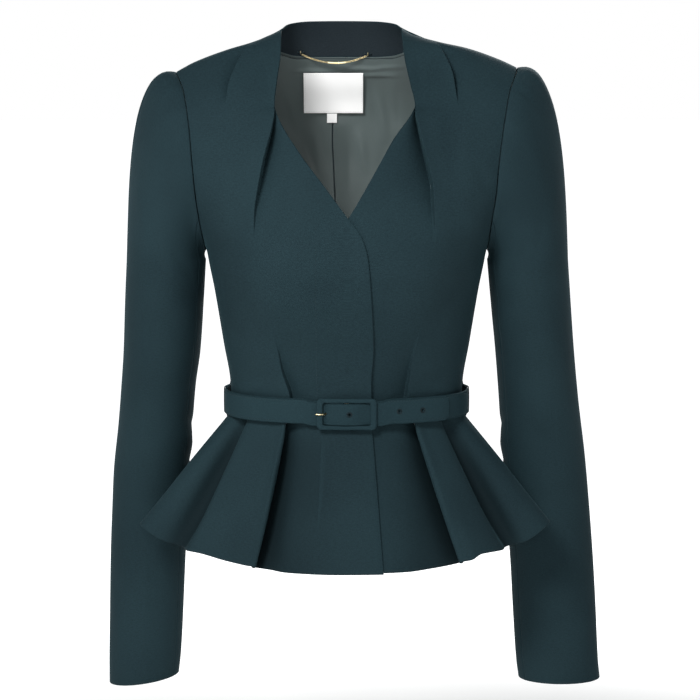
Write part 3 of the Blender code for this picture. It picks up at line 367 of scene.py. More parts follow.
# %% A socket that understands arithmetic
class Wire:
    def __init__(self, graph, socket):
        self.graph, self.socket = graph, socket

    def math(self, operation, *others, clamp=False):
        settings = dict(operation=operation, use_clamp=clamp)
        return self.graph.node("ShaderNodeMath", settings, dict(enumerate((self,) + others)))

    def __add__(self, other):
        return self.math("ADD", other)

    def __sub__(self, other):
        return self.math("SUBTRACT", other)

    def __rsub__(self, other):
        return self.graph.number(other).math("SUBTRACT", self)

    def __mul__(self, other):
        return self.math("MULTIPLY", other)

    __radd__, __rmul__ = __add__, __mul__

    def clamped(self):
        return self.math("ADD", 0.0, clamp=True)

    def ramp(self, low, high):
        """0 below low, 1 above high, soft between."""
        settings = dict(interpolation_type="SMOOTHSTEP")
        return self.graph.node("ShaderNodeMapRange", settings, {"Value": self, "From Min": low, "From Max": high})


class Graph:
    """A node tree, of a material or of a Geometry Nodes modifier."""

    def __init__(self, tree):
        self.tree = tree

    def number(self, value):
        made = self.node("ShaderNodeValue", {}, {})
        made.socket.default_value = value
        return made

    def node(self, kind, settings=None, sockets=None, out=0):
        made = self.tree.nodes.new(kind)
        for key, value in (settings or {}).items():
            setattr(made, key, value)
        for key, value in (sockets or {}).items():
            if isinstance(value, Wire):
                self.tree.links.new(value.socket, made.inputs[key])
            else:
                made.inputs[key].default_value = value
        return Wire(self, made.outputs[out])

    def mix(self, factor, a, b):
        """Mixes two colours, given as links or as red, green and blue."""
        a, b = (c if isinstance(c, Wire) else (*c, 1) for c in (a, b))
        sockets = {"Factor": factor, 6: a, 7: b}
        return self.node("ShaderNodeMix", dict(data_type="RGBA"), sockets, out=2)

    def place(self):
        """Object coordinates: where a point lies on the piece, in metres."""
        return self.node("ShaderNodeTexCoord", out=3)

    def cloth_uv(self):
        return self.node("ShaderNodeUVMap", dict(uv_map="cloth"))

    def noise(self, where, scale, detail, **more):
        return self.node("ShaderNodeTexNoise", {}, {"Vector": where, "Scale": scale, "Detail": detail, **more})

    def stretched(self, where, scale, turn=0.0):
        return self.node("ShaderNodeMapping", {}, {"Vector": where, "Rotation": (0, 0, turn), "Scale": scale})

    def bump(self, height, strength, distance):
        sockets = {"Strength": strength, "Distance": distance, "Height": height}
        return self.node("ShaderNodeBump", {}, sockets)


def new_material(name, colour, roughness, **constants):
    """A material with its shader. Values that are the same all over go on the shader's sockets."""
    material = bpy.data.materials.new(name)
    material.use_nodes = True
    material.diffuse_color = (*colour, 1)
    graph = Graph(material.node_tree)
    shader = material.node_tree.nodes["Principled BSDF"]
    shader.inputs["Base Color"].default_value = (*colour, 1)
    shader.inputs["Roughness"].default_value = roughness
    for key, value in constants.items():
        shader.inputs[key.replace("_", " ")].default_value = value
    return material, graph, shader


def feed(graph, shader, **wires):
    """Links what changes over the surface to the shader's sockets."""
    for key, wire in wires.items():
        graph.tree.links.new(wire.socket, shader.inputs[key.replace("_", " ")])


print("the shader maths knows:", [name for name in vars(Wire) if not name.startswith("__")])


# %% [markdown]
# ## Crepe
# The jacket is a firm wool-like crepe in a dark ink teal. Crepe yarn is twisted so hard that it
# kinks, which gives a dry, finely pebbled face and almost no shine. Seen from a step away it is one
# colour with a faint fleck. The weave is drawn on the cloth's own UV map, in metres, so it follows
# each panel, while the soft clouding reads Object coordinates. Where a fold is deep its cloth
# hardly sees any light, so a piece may carry an attribute of painted shade that darkens it there.

# %% The crepe material
TEAL_LOW, TEAL_HIGH = (0.0063, 0.0146, 0.0184), (0.0121, 0.0269, 0.0325)
THREADS_PER_METRE = 1700


def crepe(name, low, high, threads=THREADS_PER_METRE, bump=0.22):
    """Crepe between two colours. Painted shade darkens the folds' hollows, where a piece carries it."""
    middle = tuple((a + b) / 2 for a, b in zip(low, high))
    material, graph, shader = new_material(name, middle, 0.88, Sheen_Weight=0.05, Sheen_Roughness=0.35,
                                           Sheen_Tint=(0.25, 0.55, 0.65, 1), Specular_IOR_Level=0.07)
    uv = graph.cloth_uv()
    cloud = graph.noise(graph.place(), 9.0, 3.0)
    fleck = graph.noise(uv, 620.0, 2.0, Roughness=0.7)
    slub = graph.noise(graph.stretched(uv, (230.0, 1100.0, 1.0)), 1.0, 2.0)
    tone = cloud.ramp(0.3, 0.7) * 0.35 + fleck.ramp(0.35, 0.65) * 0.40 + slub.ramp(0.35, 0.65) * 0.25
    # Painted shade: deep in a fold the colour is mixed toward a third of the low colour.
    painted_shade = graph.node("ShaderNodeAttribute", dict(attribute_name="painted_fold_shade"), out=2)
    colour = graph.mix((painted_shade * 0.85).clamped(), graph.mix(tone, low, high), tuple(0.32 * c for c in low))
    cell = {"Vector": uv, "Scale": threads * 0.8, "Smoothness": 0.6}
    pebble = graph.node("ShaderNodeTexVoronoi", dict(feature="SMOOTH_F1"), cell)
    slanted = graph.stretched(uv, (threads, threads, 1), turn=0.62)
    rib = {"Vector": slanted, "Scale": 0.16, "Distortion": 3.0, "Detail": 1.0}
    twill = graph.node("ShaderNodeTexWave", dict(wave_type="BANDS"), rib, out=1)
    feed(graph, shader, Base_Color=colour, Roughness=fleck * 0.16 + 0.76,
         Normal=graph.bump(pebble * 0.6 + twill * 0.4, bump, 0.0005))
    return material


crepe_cloth = crepe("crepe_ink_teal", TEAL_LOW, TEAL_HIGH)
# The same crepe, painted a little darker and greyer as shade, for the stand's inner side in the neck and the lining's
# hidden side.
shaded_crepe = crepe("crepe_painted_shade", (0.0100, 0.0150, 0.0190), (0.0155, 0.0225, 0.0270))
crepe_belt = crepe("crepe_belt", (0.0067, 0.0165, 0.0208), (0.0124, 0.0285, 0.0345), bump=0.30)
print("made", crepe_cloth.name, shaded_crepe.name, crepe_belt.name)

# %% [markdown]
# ## Lining, label tape, metal and thread
# The lining is a grey-green satin: smooth, a little shiny, with fine threads along its length.
# Labels are woven of white satin tape. The prong and the hanger chain are pale gold. Each finish
# is a small graph of its own, because a reader can then change one without the others.

# %% Satin, metal and thread
def satin(name, low, high, roughness, threads, sheen):
    material, graph, shader = new_material(name, low, roughness, Sheen_Weight=sheen, Specular_IOR_Level=0.4)
    cloud = graph.noise(graph.place(), 14.0, 2.0)
    warp = graph.noise(graph.stretched(graph.cloth_uv(), (threads, threads * 0.06, 1)), 1.0, 2.0)
    tone = (cloud * 0.7 + warp * 0.5 - 0.1).clamped()
    feed(graph, shader, Base_Color=graph.mix(tone, low, high), Roughness=warp * 0.2 + (roughness - 0.1),
         Normal=graph.bump(warp, 0.15, 0.0002))
    return material


def metal(name, colour, roughness):
    material, graph, shader = new_material(name, colour, roughness, Metallic=1.0)
    wear = graph.noise(graph.place(), 700.0, 3.0)
    dull = tuple(c * 0.78 for c in colour)
    feed(graph, shader, Base_Color=graph.mix(wear, colour, dull), Roughness=wear * 0.22 + (roughness - 0.08),
         Normal=graph.bump(wear, 0.08, 0.0001))
    return material


def thread(name, colour):
    material, graph, shader = new_material(name, colour, 0.75, Sheen_Weight=0.05, Specular_IOR_Level=0.12)
    ply = graph.noise(graph.place(), 1500.0, 1.0)
    dark = tuple(0.75 * c for c in colour)
    feed(graph, shader, Base_Color=graph.mix(ply, dark, colour), Normal=graph.bump(ply, 0.3, 0.0002))
    return material


# %% Lining, tape, gold and three threads
lining_satin = satin("lining_satin", (0.062, 0.083, 0.082), (0.092, 0.118, 0.117), 0.50, 2600, 0.10)
label_satin = satin("label_satin", (0.93, 0.93, 0.92), (0.98, 0.98, 0.97), 0.8, 3200, 0.02)
pale_gold = metal("pale_gold", (0.86, 0.72, 0.42), 0.28)
dark_thread = thread("dark_thread", (0.0040, 0.0095, 0.0120))
teal_thread = thread("teal_thread", (0.0125, 0.0265, 0.0320))
white_thread = thread("white_thread", (0.82, 0.82, 0.80))
print("made", lining_satin.name, label_satin.name, pale_gold.name, "and three threads")

# %% [markdown]
# ## The two fronts
# Each front is one piece of cloth from the waist seam to the shoulder. Its inner edge runs up the
# opening, along the V and ends at a corner, where a pleat begins. Above the corner the pleat's fold
# is itself the edge and stands up as the collar. Lower down the pleat opens out over the bust, and
# a tuck closes the cloth again at the waist. So the columns of points follow those lines: edge,
# pleat, shoulder tuck and side, and a fold is a step in height between two close columns.

# %% The lines of the fronts
EDGE = {RIGHT: Chart("z x", (-357, 25.5), (-330, 24.9), (-293, 27.2), (-263, 26.1), (-224, 23.8),
                     (-200.8, 21.3), (-183.6, 16.3), (-170.8, 8.4), (-162, 1.2), (-133, -20.4),
                     (-98, -46.8), (-58.7, -70.0), (-50.8, -72.2), (-26, -70.0), (3, -66.8), (24.4, -67.0)),
        LEFT: Chart("z x", (-357, -25), (-225, -25), (-198, -21), (-178, -11), (-162, 1.6), (-141, 14.6),
                    (-112.5, 30.8), (-83.3, 47.5), (-56.7, 66.4), (-50.8, 68.8), (-31, 64.8), (-1, 58.8),
                    (26, 56.6))}
PLEAT = {RIGHT: Chart("z x", (-357, -56), (-343, -58.5), (-317, -66.1), (-299, -69.0), (-244, -84.5),
                      (-193, -92.8), (-155, -92.5), (-140, -91.1), (-108, -86.5), (-75, -78.6), (-50.8, -72.2)),
         LEFT: Chart("z x", (-357, 60), (-343, 63.0), (-311, 66), (-244, 82), (-193, 89), (-164, 88.4),
                     (-132, 88.6), (-108, 84.6), (-78.4, 77.6), (-50.8, 68.8))}
TUCK = {RIGHT: Chart("z x", (-357, -92), (-300, -101), (-220, -114), (-150, -122), (-80, -125),
                     (-34, -119.5), (-6, -107.1), (13, -96.0)),
        LEFT: Chart("z x", (-357, 92), (-300, 100), (-220, 112), (-150, 118), (-80, 116),
                    (-34, 109.4), (-21, 106.6), (-6, 100.0), (15, 87.9))}
# How high each fold stands, and how deep the cloth beside it dips.
FOLD = Chart("z pleat pleat_dip waist_tuck waist_dip shoulder_tuck shoulder_dip",
             (-357, 0, 0, 0, 0, 0, 0), (-349, 0, 0, 2.3, 7.6, 0, 0), (-340, 0, 0, 2.4, 8.6, 0, 0),
             (-322, 0, 0, 1.2, 5.6, 0, 0), (-303, 0, 0, 0.2, 2.4, 0, 0), (-285, 0, 0, 0, 0.4, 0, 0),
             (-270, 0, 0, 0, 0, 0, 0),
             (-186, 0, 0, 0, 0, 0, 0), (-165, 0.7, 2.4, 0, 0, 0, 0), (-140, 2.6, 6.8, 0, 0, 0, 0),
             (-110, 4.8, 11.5, 0, 0, 0, 0), (-80, 6.0, 13.0, 0, 0, 0, 0), (-60, 4.2, 8.0, 0, 0, 0, 0),
             (-50.8, 0, 0, 0, 0, 0, 0), (-48, 0, 0, 0, 0, 0, 0.4), (-32, 0, 0, 0, 0, 1.6, 5.4),
             (-8, 0, 0, 0, 0, 4.0, 10.0), (16, 0, 0, 0, 0, 4.4, 11.0))
# Rows of points: height at the inner edge, height at the side, and the rows since the last key.
ROWS = ((-357, -357, 0), (-285, -285, 4), (-225, -232, 3), (-186, UNDERARM, 2), (-150, -168, 2),
        (-90, -120, 3), (-50.8, -82, 2), (-12, -42, 2), (25, -16, 3))
ROW_STEPS, LEFT_PLEAT_DEEPER = 7, 1.4
print("folds: pleat", FOLD.at("pleat", -80.0), "mm high over a dip of", FOLD.at("pleat_dip", -80.0))


# %% Rows of points, from the inner edge to the side
def spread_rows(keys=ROWS):
    """Heights of the rows at the inner edge and at the side. A key is both, and the rows up to it."""
    inner, outer = [keys[0][0]], [keys[0][1]]
    for (in_a, out_a, _), (in_b, out_b, count) in zip(keys, keys[1:]):
        inner += [in_a + (in_b - in_a) * i / count for i in range(1, count + 1)]
        outer += [out_a + (out_b - out_a) * i / count for i in range(1, count + 1)]
    return np.array(inner), np.array(outer)


print("rows on a front:", len(spread_rows()[0]))


# %% Columns of points, from the opening edge to the side
def front_columns(side):
    """For each column, as functions of z: its x, how high it stands and how deep its wrong side dips."""
    edge, pleat, tuck, inward = EDGE[side], PLEAT[side], TUCK[side], -side

    def tall(z):
        return FOLD.at("pleat", z) + FOLD.at("waist_tuck", z)

    def dip(z):
        deeper = LEFT_PLEAT_DEEPER if side == LEFT else 1.0
        return FOLD.at("pleat_dip", z) * deeper + FOLD.at("waist_dip", z)

    def shoulder(z):
        return FOLD.at("shoulder_tuck", z)

    def shoulder_dip(z):
        return FOLD.at("shoulder_dip", z)

    def below_corner(z):
        return ease(CORNER, CORNER - 5, z)

    def edge_x(z):
        return edge.at("x", z)

    def recess_x(z):
        return pleat.at("x", z) + inward * (0.6 * below_corner(z) + 0.22 * tall(z))

    def tip_x(z):
        line = np.where(z > CORNER, edge.at("x", z), pleat.at("x", z))
        return line + inward * 0.75 * tall(z)

    def tuck_tip_x(z):
        return tuck.at("x", z) + side * 0.28 * shoulder(z)

    def tuck_foot_x(z):
        return tuck.at("x", z) + side * (0.5 + 0.12 * shoulder(z))

    def side_x(z):
        return side * outer_across(z, side)

    def between(low, high, share):
        return lambda z: low(z) + (high(z) - low(z)) * share

    def row(*parts):
        return np.concatenate([finer(shares, steps) for shares, steps in parts])

    inner_part, outer_part = [], []
    # from the opening edge down into the recess, and up its wall to the fold's tip
    for s in row(((0, 0.06, 0.2, 0.5, 0.75, 0.9), 4), ((0.93, 1), 4)):
        inner_part.append((between(edge_x, recess_x, s), lambda z, s=s: -dip(z) * s**2.6,
                           lambda z, s=s: dip(z) * s**2))
    for q in (0.3, 0.6, 0.85):
        inner_part.append((between(recess_x, tip_x, q),
                           lambda z, q=q: -dip(z) + (0.9 * tall(z) + dip(z)) * ease(0, 1, q), dip))
    # from the tip of the pleat to the tip of the shoulder tuck, and down its wall
    for s in row(((0, 0.02, 0.08), 2), ((0.14, 0.3, 0.55, 0.8), 4), ((0.88, 0.96, 1), 3)):
        outer_part.append((between(tip_x, tuck_tip_x, s),
                           lambda z, s=s: tall(z) * np.clip(1 - s, 0, 1) ** 2.4 * (1 - 0.10 * (s < 0.01))
                           + 0.95 * shoulder(z) * s**3.0 * (1 - 0.08 * (s > 0.999)),
                           lambda z, s=s: dip(z) * (1 - s) ** 5 + shoulder_dip(z) * s**6))
    for q in (0.35, 0.7):
        outer_part.append((between(tuck_tip_x, tuck_foot_x, q),
                           lambda z, q=q: 0.87 * shoulder(z)
                           - (0.87 * shoulder(z) + shoulder_dip(z)) * ease(0, 1, q), shoulder_dip))
    # and on to the side
    for s in row(((0, 0.03, 0.1), 2), ((0.16, 0.3, 0.5, 0.68, 0.84), 4), ((0.88, 0.94, 0.98, 1), 2)):
        outer_part.append((between(tuck_foot_x, side_x, s), lambda z, s=s: -shoulder_dip(z) * (1 - s) ** 7,
                           lambda z, s=s: shoulder_dip(z) * (1 - s) ** 3))
    return inner_part, outer_part, edge_x, side_x


print("columns on a front:", sum(len(part) for part in front_columns(RIGHT)[:2]))

# %% Soft creases of the fronts: the two ends as x and z, the width and the height
FRONT_CREASES = {
    RIGHT: ((-118, -352, -84, -330, 5.0, 1.1), (-112, -338, -72, -318, 6.0, -0.8), (-46, -350, -8, -341, 4.5, 0.8),
            (-52, -339, 4, -331, 6.5, -0.7), (-140, -205, -98, -182, 8.0, -1.4), (-143, -186, -108, -158, 8.0, 1.0),
            (-150, -150, -128, -98, 6.5, -1.2), (-120, -60, -112, -140, 10.0, -1.2), (-98, -40, -92, -110, 9.0, 0.9),
            (-66, -205, -44, -262, 16.0, -1.0), (-104, -232, -88, -300, 12.0, -1.0), (-30, -180, -30, -250, 12.0, 0.6),
            (-84, 0, -78, -48, 5.0, -0.9)),
    LEFT: ((116, -350, 86, -336, 5.0, 1.1), (108, -336, 74, -326, 5.5, -0.9), (100, -322, 72, -314, 6.0, 0.6),
           (32, -346, 58, -340, 4.0, 0.7), (140, -203, 100, -178, 8.0, -1.3), (142, -182, 112, -150, 8.0, 1.0),
           (148, -146, 126, -100, 6.5, -1.1), (112, -55, 106, -132, 9.0, -1.1), (92, -40, 90, -108, 8.0, 0.8),
           (62, -210, 46, -268, 14.0, -0.9), (100, -236, 84, -300, 12.0, -1.0), (40, -190, 34, -262, 10.0, 0.6),
           (76, 0, 72, -46, 5.0, -0.8))}
print("creases on the fronts:", {side: len(rows) for side, rows in FRONT_CREASES.items()})


# %% Where the right front lies over the left, and where its placket is stitched
OVERLAP_RISE, PLACKET_X, GROOVE_DEEP, GROOVE_WIDE, FACING_WIDE = 2.8, -30.5, 0.45, 0.55, 62


def overlap(x):
    """How far the right front is lifted over the left one."""
    return OVERLAP_RISE * ease(-62, -36, x)


def stitch_groove(x, line):
    return np.exp(-((x - line) / GROOVE_WIDE) ** 2)


print("the right front is lifted", float(overlap(0.0)), "mm at the middle")


# %% Where rows and columns cross
SEARCH_ROUNDS = 12


def solve_column(place, z_in, z_out, share, edge_x, side_x):
    """The height at which a row line crosses a column line."""
    x0, x1 = edge_x(z_in), side_x(z_out)
    z = z_in + (z_out - z_in) * share
    for _ in range(SEARCH_ROUNDS):
        at = np.clip((place(z) - x0) / (x1 - x0), 0, 1)
        z = 0.5 * z + 0.5 * (z_in + (z_out - z_in) * at)
    x = place(z)
    x[-1] = x0[-1] + (x1[-1] - x0[-1]) * np.clip((x[-1] - x0[-1]) / (x1[-1] - x0[-1]), 0, 1)
    z[-1] = ridge_height(x[-1])
    return x, np.minimum(z, ridge_height(x))


def front_grid(side):
    """x, z, height and dip of each point of a front, and its faces. Above the corner the cloth
    nearer the middle ends, so the rows there start at the pleat."""
    inner_part, outer_part, edge_x, side_x = front_columns(side)
    z_in, z_out = spread_rows()
    corner = int(np.argmin(np.abs(z_in - CORNER)))
    first, last = len(inner_part), len(inner_part) + len(outer_part) - 1
    rows = (len(z_in) - 1) * ROW_STEPS + 1
    grid = np.full((rows, last + 1, 4), np.nan)
    for c, (place, height, dip) in enumerate(inner_part + outer_part):
        inside = c < first
        stop = corner + 1 if inside else len(z_in)
        share = (c if inside else c - first) / (last if inside else max(last - first, 1))
        x, z = solve_column(place, z_in, z_out, share, edge_x, side_x)
        knots = np.arange(stop, dtype=float)
        where = np.linspace(0, stop - 1, (stop - 1) * ROW_STEPS + 1)
        fine_z = smooth_curve(knots, z[:stop], where)
        fine_x = place(fine_z)
        if not inside:
            fine_x = fine_x + (x[-1] - place(z[-1:])[0]) * np.clip(where - (stop - 2), 0, 1)
            fine_z = np.minimum(fine_z, ridge_height(fine_x))
        grid[:len(where), c] = np.stack([fine_x, fine_z, height(fine_z), dip(fine_z)], axis=1)
    number = np.arange(rows * (last + 1)).reshape(rows, last + 1)
    number[corner * ROW_STEPS, :first] = number[corner * ROW_STEPS, first]
    quads = cells(number)
    keep = np.ones(quads.shape[:2], bool)
    keep[corner * ROW_STEPS:, :first] = False
    quads = quads[keep]
    used = np.unique(quads)
    return grid.reshape(-1, 4)[used], np.searchsorted(used, quads)


print("points on a front's face:", len(front_grid(RIGHT)[0]))


# %% Face side and wrong side of a front
def front_skins(side):
    """Both sides, the faces, the weave's map, and which points lie beyond the facing."""
    flat, quads = front_grid(side)
    x, z, height, dip = flat.T
    flush = ease(0.3, 7.0, ridge_height(x) - z)
    height, dip = height * flush, dip * flush
    base = np.stack([x, torso_depth(x, z, True), z], axis=1)
    normal = form_normal(x, z, True)
    height = height + crease_height(FRONT_CREASES[side], x, z)
    lift = overlap(x) * (side == RIGHT)
    groove = stitch_groove(x, PLACKET_X) * ease(-352, -345, z) * (1 - ease(-175, -160, z)) * (side == RIGHT)
    outer = base + normal * (height + lift - GROOVE_DEEP * groove)[:, None]
    inner = base + normal * (lift - dip - CLOTH)[:, None]
    facing_part = np.abs(x - EDGE[side].at("x", z)) < FACING_WIDE
    uv = np.stack([side * np.hypot(x, 0.6 * base[:, 1] + 60), z], axis=1)
    return outer, inner, quads, uv, ~facing_part


def keep_front(side, p):
    """Holds the points back at the seams, so that no piece runs into the next."""
    p = p.copy()
    p[:, 1] = np.minimum(p[:, 1], seam_depth(p[:, 2]) - GAP / 2)
    p[:, 2] = np.maximum(p[:, 2], WAIST + GAP / 2)
    return keep_in_armhole(side, p)


def keep_in_armhole(side, p):
    """Ends a front or back at the armhole's line, above the underarm."""
    limit = np.where(p[..., 2] > UNDERARM - 1, armhole_across(p[..., 2], side), np.inf)
    p[..., 0] = side * np.minimum(side * p[..., 0], limit)
    return p


print("seams are", GAP, "mm wide on the face")

# %% The two fronts
HEART = (0, 10, -180)
garment = {}
for word, side in SIDES:
    outer, inner, quads, uv, lined = front_skins(side)
    garment["front_" + word] = cloth_shell(
        "front_" + word + "_cloth", keep_front(side, outer), keep_front(side, inner), quads, uv, HEART,
        crepe_cloth, lining_satin, back_where=lined)

# %% [markdown]
# ## The backs and the stand of the collar
# The back is cut in two halves that meet in a seam down the middle. The photograph doesn't show
# it, so it is finished plainly: a middle seam, a soft hollow down the spine and two long shallow
# tucks that carry on into the folds of the peplum. The fronts' pleats run on round the neck as a
# stand, a curved strip whose inside shows behind the hanger chain.

# %% The lines of the back
NECK_POINT = {RIGHT: 88.0, LEFT: 80.0}
NECK_SEAM = Chart("across rise", (0, -2.2), (30, -2.2), (52, -1.0), (68, 3.5), (80, 11), (88, 16))
NECK_SHARES = (0, 0.18, 0.36, 0.53, 0.68, 0.81, 0.92, 1)
SHOULDER_SHARES = (0.17, 0.38, 0.58, 0.76, 0.9, 1)
BACK_CREASES = ((20, -345, 70, -335, 5, 0.9), (-18, -338, -66, -330, 5, 0.8), (30, -328, 84, -322, 6, -0.7),
                (-36, -322, -90, -314, 6, -0.7), (128, -190, 84, -160, 9, -1.2), (-128, -188, -82, -158, 9, -1.2),
                (134, -150, 104, -110, 8, 0.9), (-134, -148, -102, -108, 8, 0.9), (64, -357, 70, -205, 3.0, -1.1),
                (-64, -357, -70, -205, 3.0, -1.1), (60, -357, 64, -215, 5.0, 0.7), (-60, -357, -64, -215, 5.0, 0.7))
print("neck", sum(NECK_POINT.values()), "mm across,", len(BACK_CREASES), "creases on the back")


# %% The grid of a back
def back_shares(side):
    """Places along the top of a back, from the middle seam to the shoulder's tip, as shares of it."""
    neck, tip = NECK_POINT[side], float(outer_across(spread_rows()[1][-1], side))
    across = [neck * s for s in NECK_SHARES] + [neck + (tip - neck) * s for s in SHOULDER_SHARES]
    return np.array(across) / tip, tip


def back_top(x, side):
    """Height of the back's top edge: the neck seam, and then the shoulder seam."""
    neck = NECK_POINT[side]
    stretch = np.abs(x) * NECK_POINT[RIGHT] / neck
    at_neck = float(ridge_height(np.array(side * neck)))
    seam = NECK_SEAM.at("rise", stretch) + (at_neck - 16) * ease(52, 88, stretch)
    return np.where(np.abs(x) >= neck - 0.001, ridge_height(x), seam)


def back_grid(side, steps):
    shares, tip = back_shares(side)
    heights = finer(spread_rows()[1], steps)
    shares = finer(shares, steps)
    top = back_top(side * shares * tip, side)
    rows = []
    for z_out in heights:
        across = side * shares * outer_across(z_out, side)
        level = np.full(len(shares), float(z_out))
        if z_out > UNDERARM + 0.01:
            level = UNDERARM + (top - UNDERARM) * (z_out - UNDERARM) / (heights[-1] - UNDERARM)
        level = np.minimum(level, ridge_height(across))
        rows.append(np.stack([across, torso_depth(across, level, False), level], axis=1))
    return np.array(rows)


print("grid of the right back:", back_grid(RIGHT, 1).shape[:2], "before it is made finer")


# %% The two backs
def keep_back(side, p):
    p = p.copy()
    p[..., 1] = np.maximum(p[..., 1], seam_depth(p[..., 2]) + GAP / 2)
    p[..., 2] = np.maximum(p[..., 2], WAIST + GAP / 2)
    p[..., 0] = side * np.maximum(side * p[..., 0], GAP / 2)
    return keep_in_armhole(side, p)


BACK_STEPS = 6
for word, side in SIDES:
    grid = back_grid(side, BACK_STEPS)
    normal = grid_normals(grid, HEART)
    near_edge = ease(0, 12, np.abs(grid[..., 0])) * ease(0, 10, grid[..., 1] - 5)
    height = crease_height(BACK_CREASES, grid[..., 0], grid[..., 2]) * near_edge
    skins = (keep_back(side, grid + normal * height[..., None]), keep_back(side, grid - normal * CLOTH))
    garment["back_" + word] = grid_shell("back_" + word + "_cloth", *skins, HEART, crepe_cloth, lining_satin,
                                         measured=grid)

# %% The collar stand
COLLAR_TOP = Chart("turn x y z", (-90, -67, 5, 24.4), (-60, -60.5, 28, 30.6), (-30, -38, 45, 33.8),
                   (0, -5, 50, 34.2), (30, 28, 45, 33.8), (60, 50.5, 28, 31.0), (90, 56.6, 5, 26.2))
COLLAR_CLOTH, SEAM_LAP, COLLAR_BOW = 1.5, 1.1, 2.5
COLLAR_ROWS = 25
COLLAR_HEART = (-5, 0, 0)


def whole_back(steps):
    """Both backs as one grid, from the right shoulder to the left."""
    right, left = back_grid(RIGHT, steps), back_grid(LEFT, steps)
    return np.concatenate([right[:, :0:-1], left], axis=1)


def collar_grid(steps, rows):
    """The stand, from the neck seam's own points up to its top edge, bowed a little."""
    foot = whole_back(steps)[-1]
    ends = len(SHOULDER_SHARES) * steps
    foot = foot[ends:len(foot) - ends]
    middle = (len(NECK_SHARES) - 1) * steps
    reach = np.where(foot[:, 0] < 0, NECK_POINT[RIGHT], NECK_POINT[LEFT])
    turn = np.degrees(np.arcsin(np.clip((np.abs(foot[:, 0]) / reach) ** 0.87, 0, 1))) * np.sign(foot[:, 0])
    turn[0], turn[middle], turn[-1] = -90, 0, 90
    top = np.stack([COLLAR_TOP.at(axis, turn) for axis in "xyz"], axis=1)
    start = foot - unit(top - foot) * SEAM_LAP
    grid = []
    for share in np.linspace(0, 1, rows):
        row = start + (top - start) * share
        row[:, 1] += COLLAR_BOW * np.sin(np.pi * share) * np.cos(np.radians(turn))
        grid.append(row)
    return np.array(grid)


grid = collar_grid(BACK_STEPS, COLLAR_ROWS)
outer, inner = grid.copy(), grid - grid_normals(grid, COLLAR_HEART) * COLLAR_CLOTH
for skin in (outer, inner):
    skin[..., 1] = np.maximum(skin[..., 1], RIDGE_Y + GAP / 2)
collar_inside = inner.reshape(-1, 3)
# The stand's inner side takes the crepe painted darker as shade.
garment["collar_back"] = grid_shell("collar_back_cloth", outer, inner, COLLAR_HEART, crepe_cloth, shaded_crepe,
                                    measured=grid, edge_round=0.5)

# %% [markdown]
# ## The lining, where the neck shows it
# Through the neck one looks at the lining of the back. It is cut wider than the cloth, so that the
# wearer can move, and the extra width lies in a pleat down the middle, which shows as one dark
# line under the label. Below the neck seam it bunches in a few short creases. Its shell follows the
# back's own points, moved in past the cloth.

# %% The lining of the back
LINING, LINING_GAP, LINING_GAP_AT_CORNER, LINING_DROP = 1.0, 1.6, 2.4, 1.2
LINING_CREASES = ((-62, -14, -8, -17, 2.2, 2.2), (-20, -11, 46, -15, 2.4, 2.0), (-50, -20, 20, -22, 2.0, -1.4),
                  (6, -20, 58, -19, 2.2, 2.0), (24, -13, 64, -9, 1.8, 1.4), (-66, -30, -50, -84, 5.0, 1.8),
                  (30, -26, 44, -96, 5.0, 2.2), (54, -30, 56, -84, 4.0, -1.0), (40, -30, 52, -78, 3.5, -0.9),
                  (-34, -74, -26, -138, 4.5, 1.3), (12, -74, 22, -130, 5.0, 1.8), (2, -80, 4, -150, 4.0, -0.8),
                  (-52, -70, -40, -130, 6.0, -0.9), (44, -86, 34, -140, 6.0, -0.9), (-58, -86, -30, -150, 5.0, 1.4),
                  (20, -24, 28, -70, 3.0, 1.2))
CENTRE_PLEAT = Chart("z x", (-180, -10.5), (-160, -11.3), (-120, -13.0), (-90, -14.2), (-72, -13.9), (-60, -13.6))


def with_columns_at_pleat(grid):
    """Adds close columns along the pleat, so that it can be narrow and deep."""
    rows = []
    for row in grid:
        pleat_x = float(CENTRE_PLEAT.at("x", np.clip(row[row.shape[0] // 2, 2], -180, -60)))
        x = np.sort(np.concatenate([row[:, 0], pleat_x + np.array((-2.4, -1.6, -1.1, -0.7, -0.35, 0, 0.3, 0.8))]))
        rows.append(np.stack([x, np.interp(x, row[:, 0], row[:, 1]), np.interp(x, row[:, 0], row[:, 2])], axis=1))
    return np.array(rows)


def lining_grids(steps):
    """Both sides of the lining: the one toward the cloth, and the one that shows."""
    grid = with_columns_at_pleat(whole_back(steps))
    normal = grid_normals(grid, HEART)
    x, z = grid[..., 0], grid[..., 2]
    corner = ease(35, 55, np.abs(x)) * (1 - ease(100, 125, np.abs(x))) * ease(-75, -25, z)
    clear = CLOTH + LINING_GAP + LINING_GAP_AT_CORNER * corner
    pleat = x - CENTRE_PLEAT.at("x", z)
    fall = ease(-60, -76, z)
    clear = clear + 2.4 * np.exp(-(pleat / 14.0) ** 2) * fall
    fold = 1.6 * np.where(pleat > -0.01, np.exp(-pleat.clip(0) / 8.0), 0)
    slit = 2.6 * np.exp(-((pleat + 0.7) / 0.55) ** 2)
    rise = (fold - slit) * fall + crease_height(LINING_CREASES, x, z)
    skins = []
    for lift in (clear, clear + LINING + rise):
        skin = grid - normal * lift[..., None]
        skin[-1] += unit(skin[-1 - steps] - skin[-1]) * LINING_DROP
        skin[..., 1] = np.maximum(skin[..., 1], seam_depth(skin[..., 2]) + 0.45)
        skins.append(skin[:, steps:-steps])
    return skins


outer, inner = lining_grids(BACK_STEPS)
lining_inside = inner.reshape(-1, 3)
# The lining's side toward the cloth, and its edges, take the crepe painted darker as shade.
garment["lining_back"] = grid_shell("lining_back_satin", outer, inner, HEART, shaded_crepe, lining_satin,
                                    edge_round=0.2)

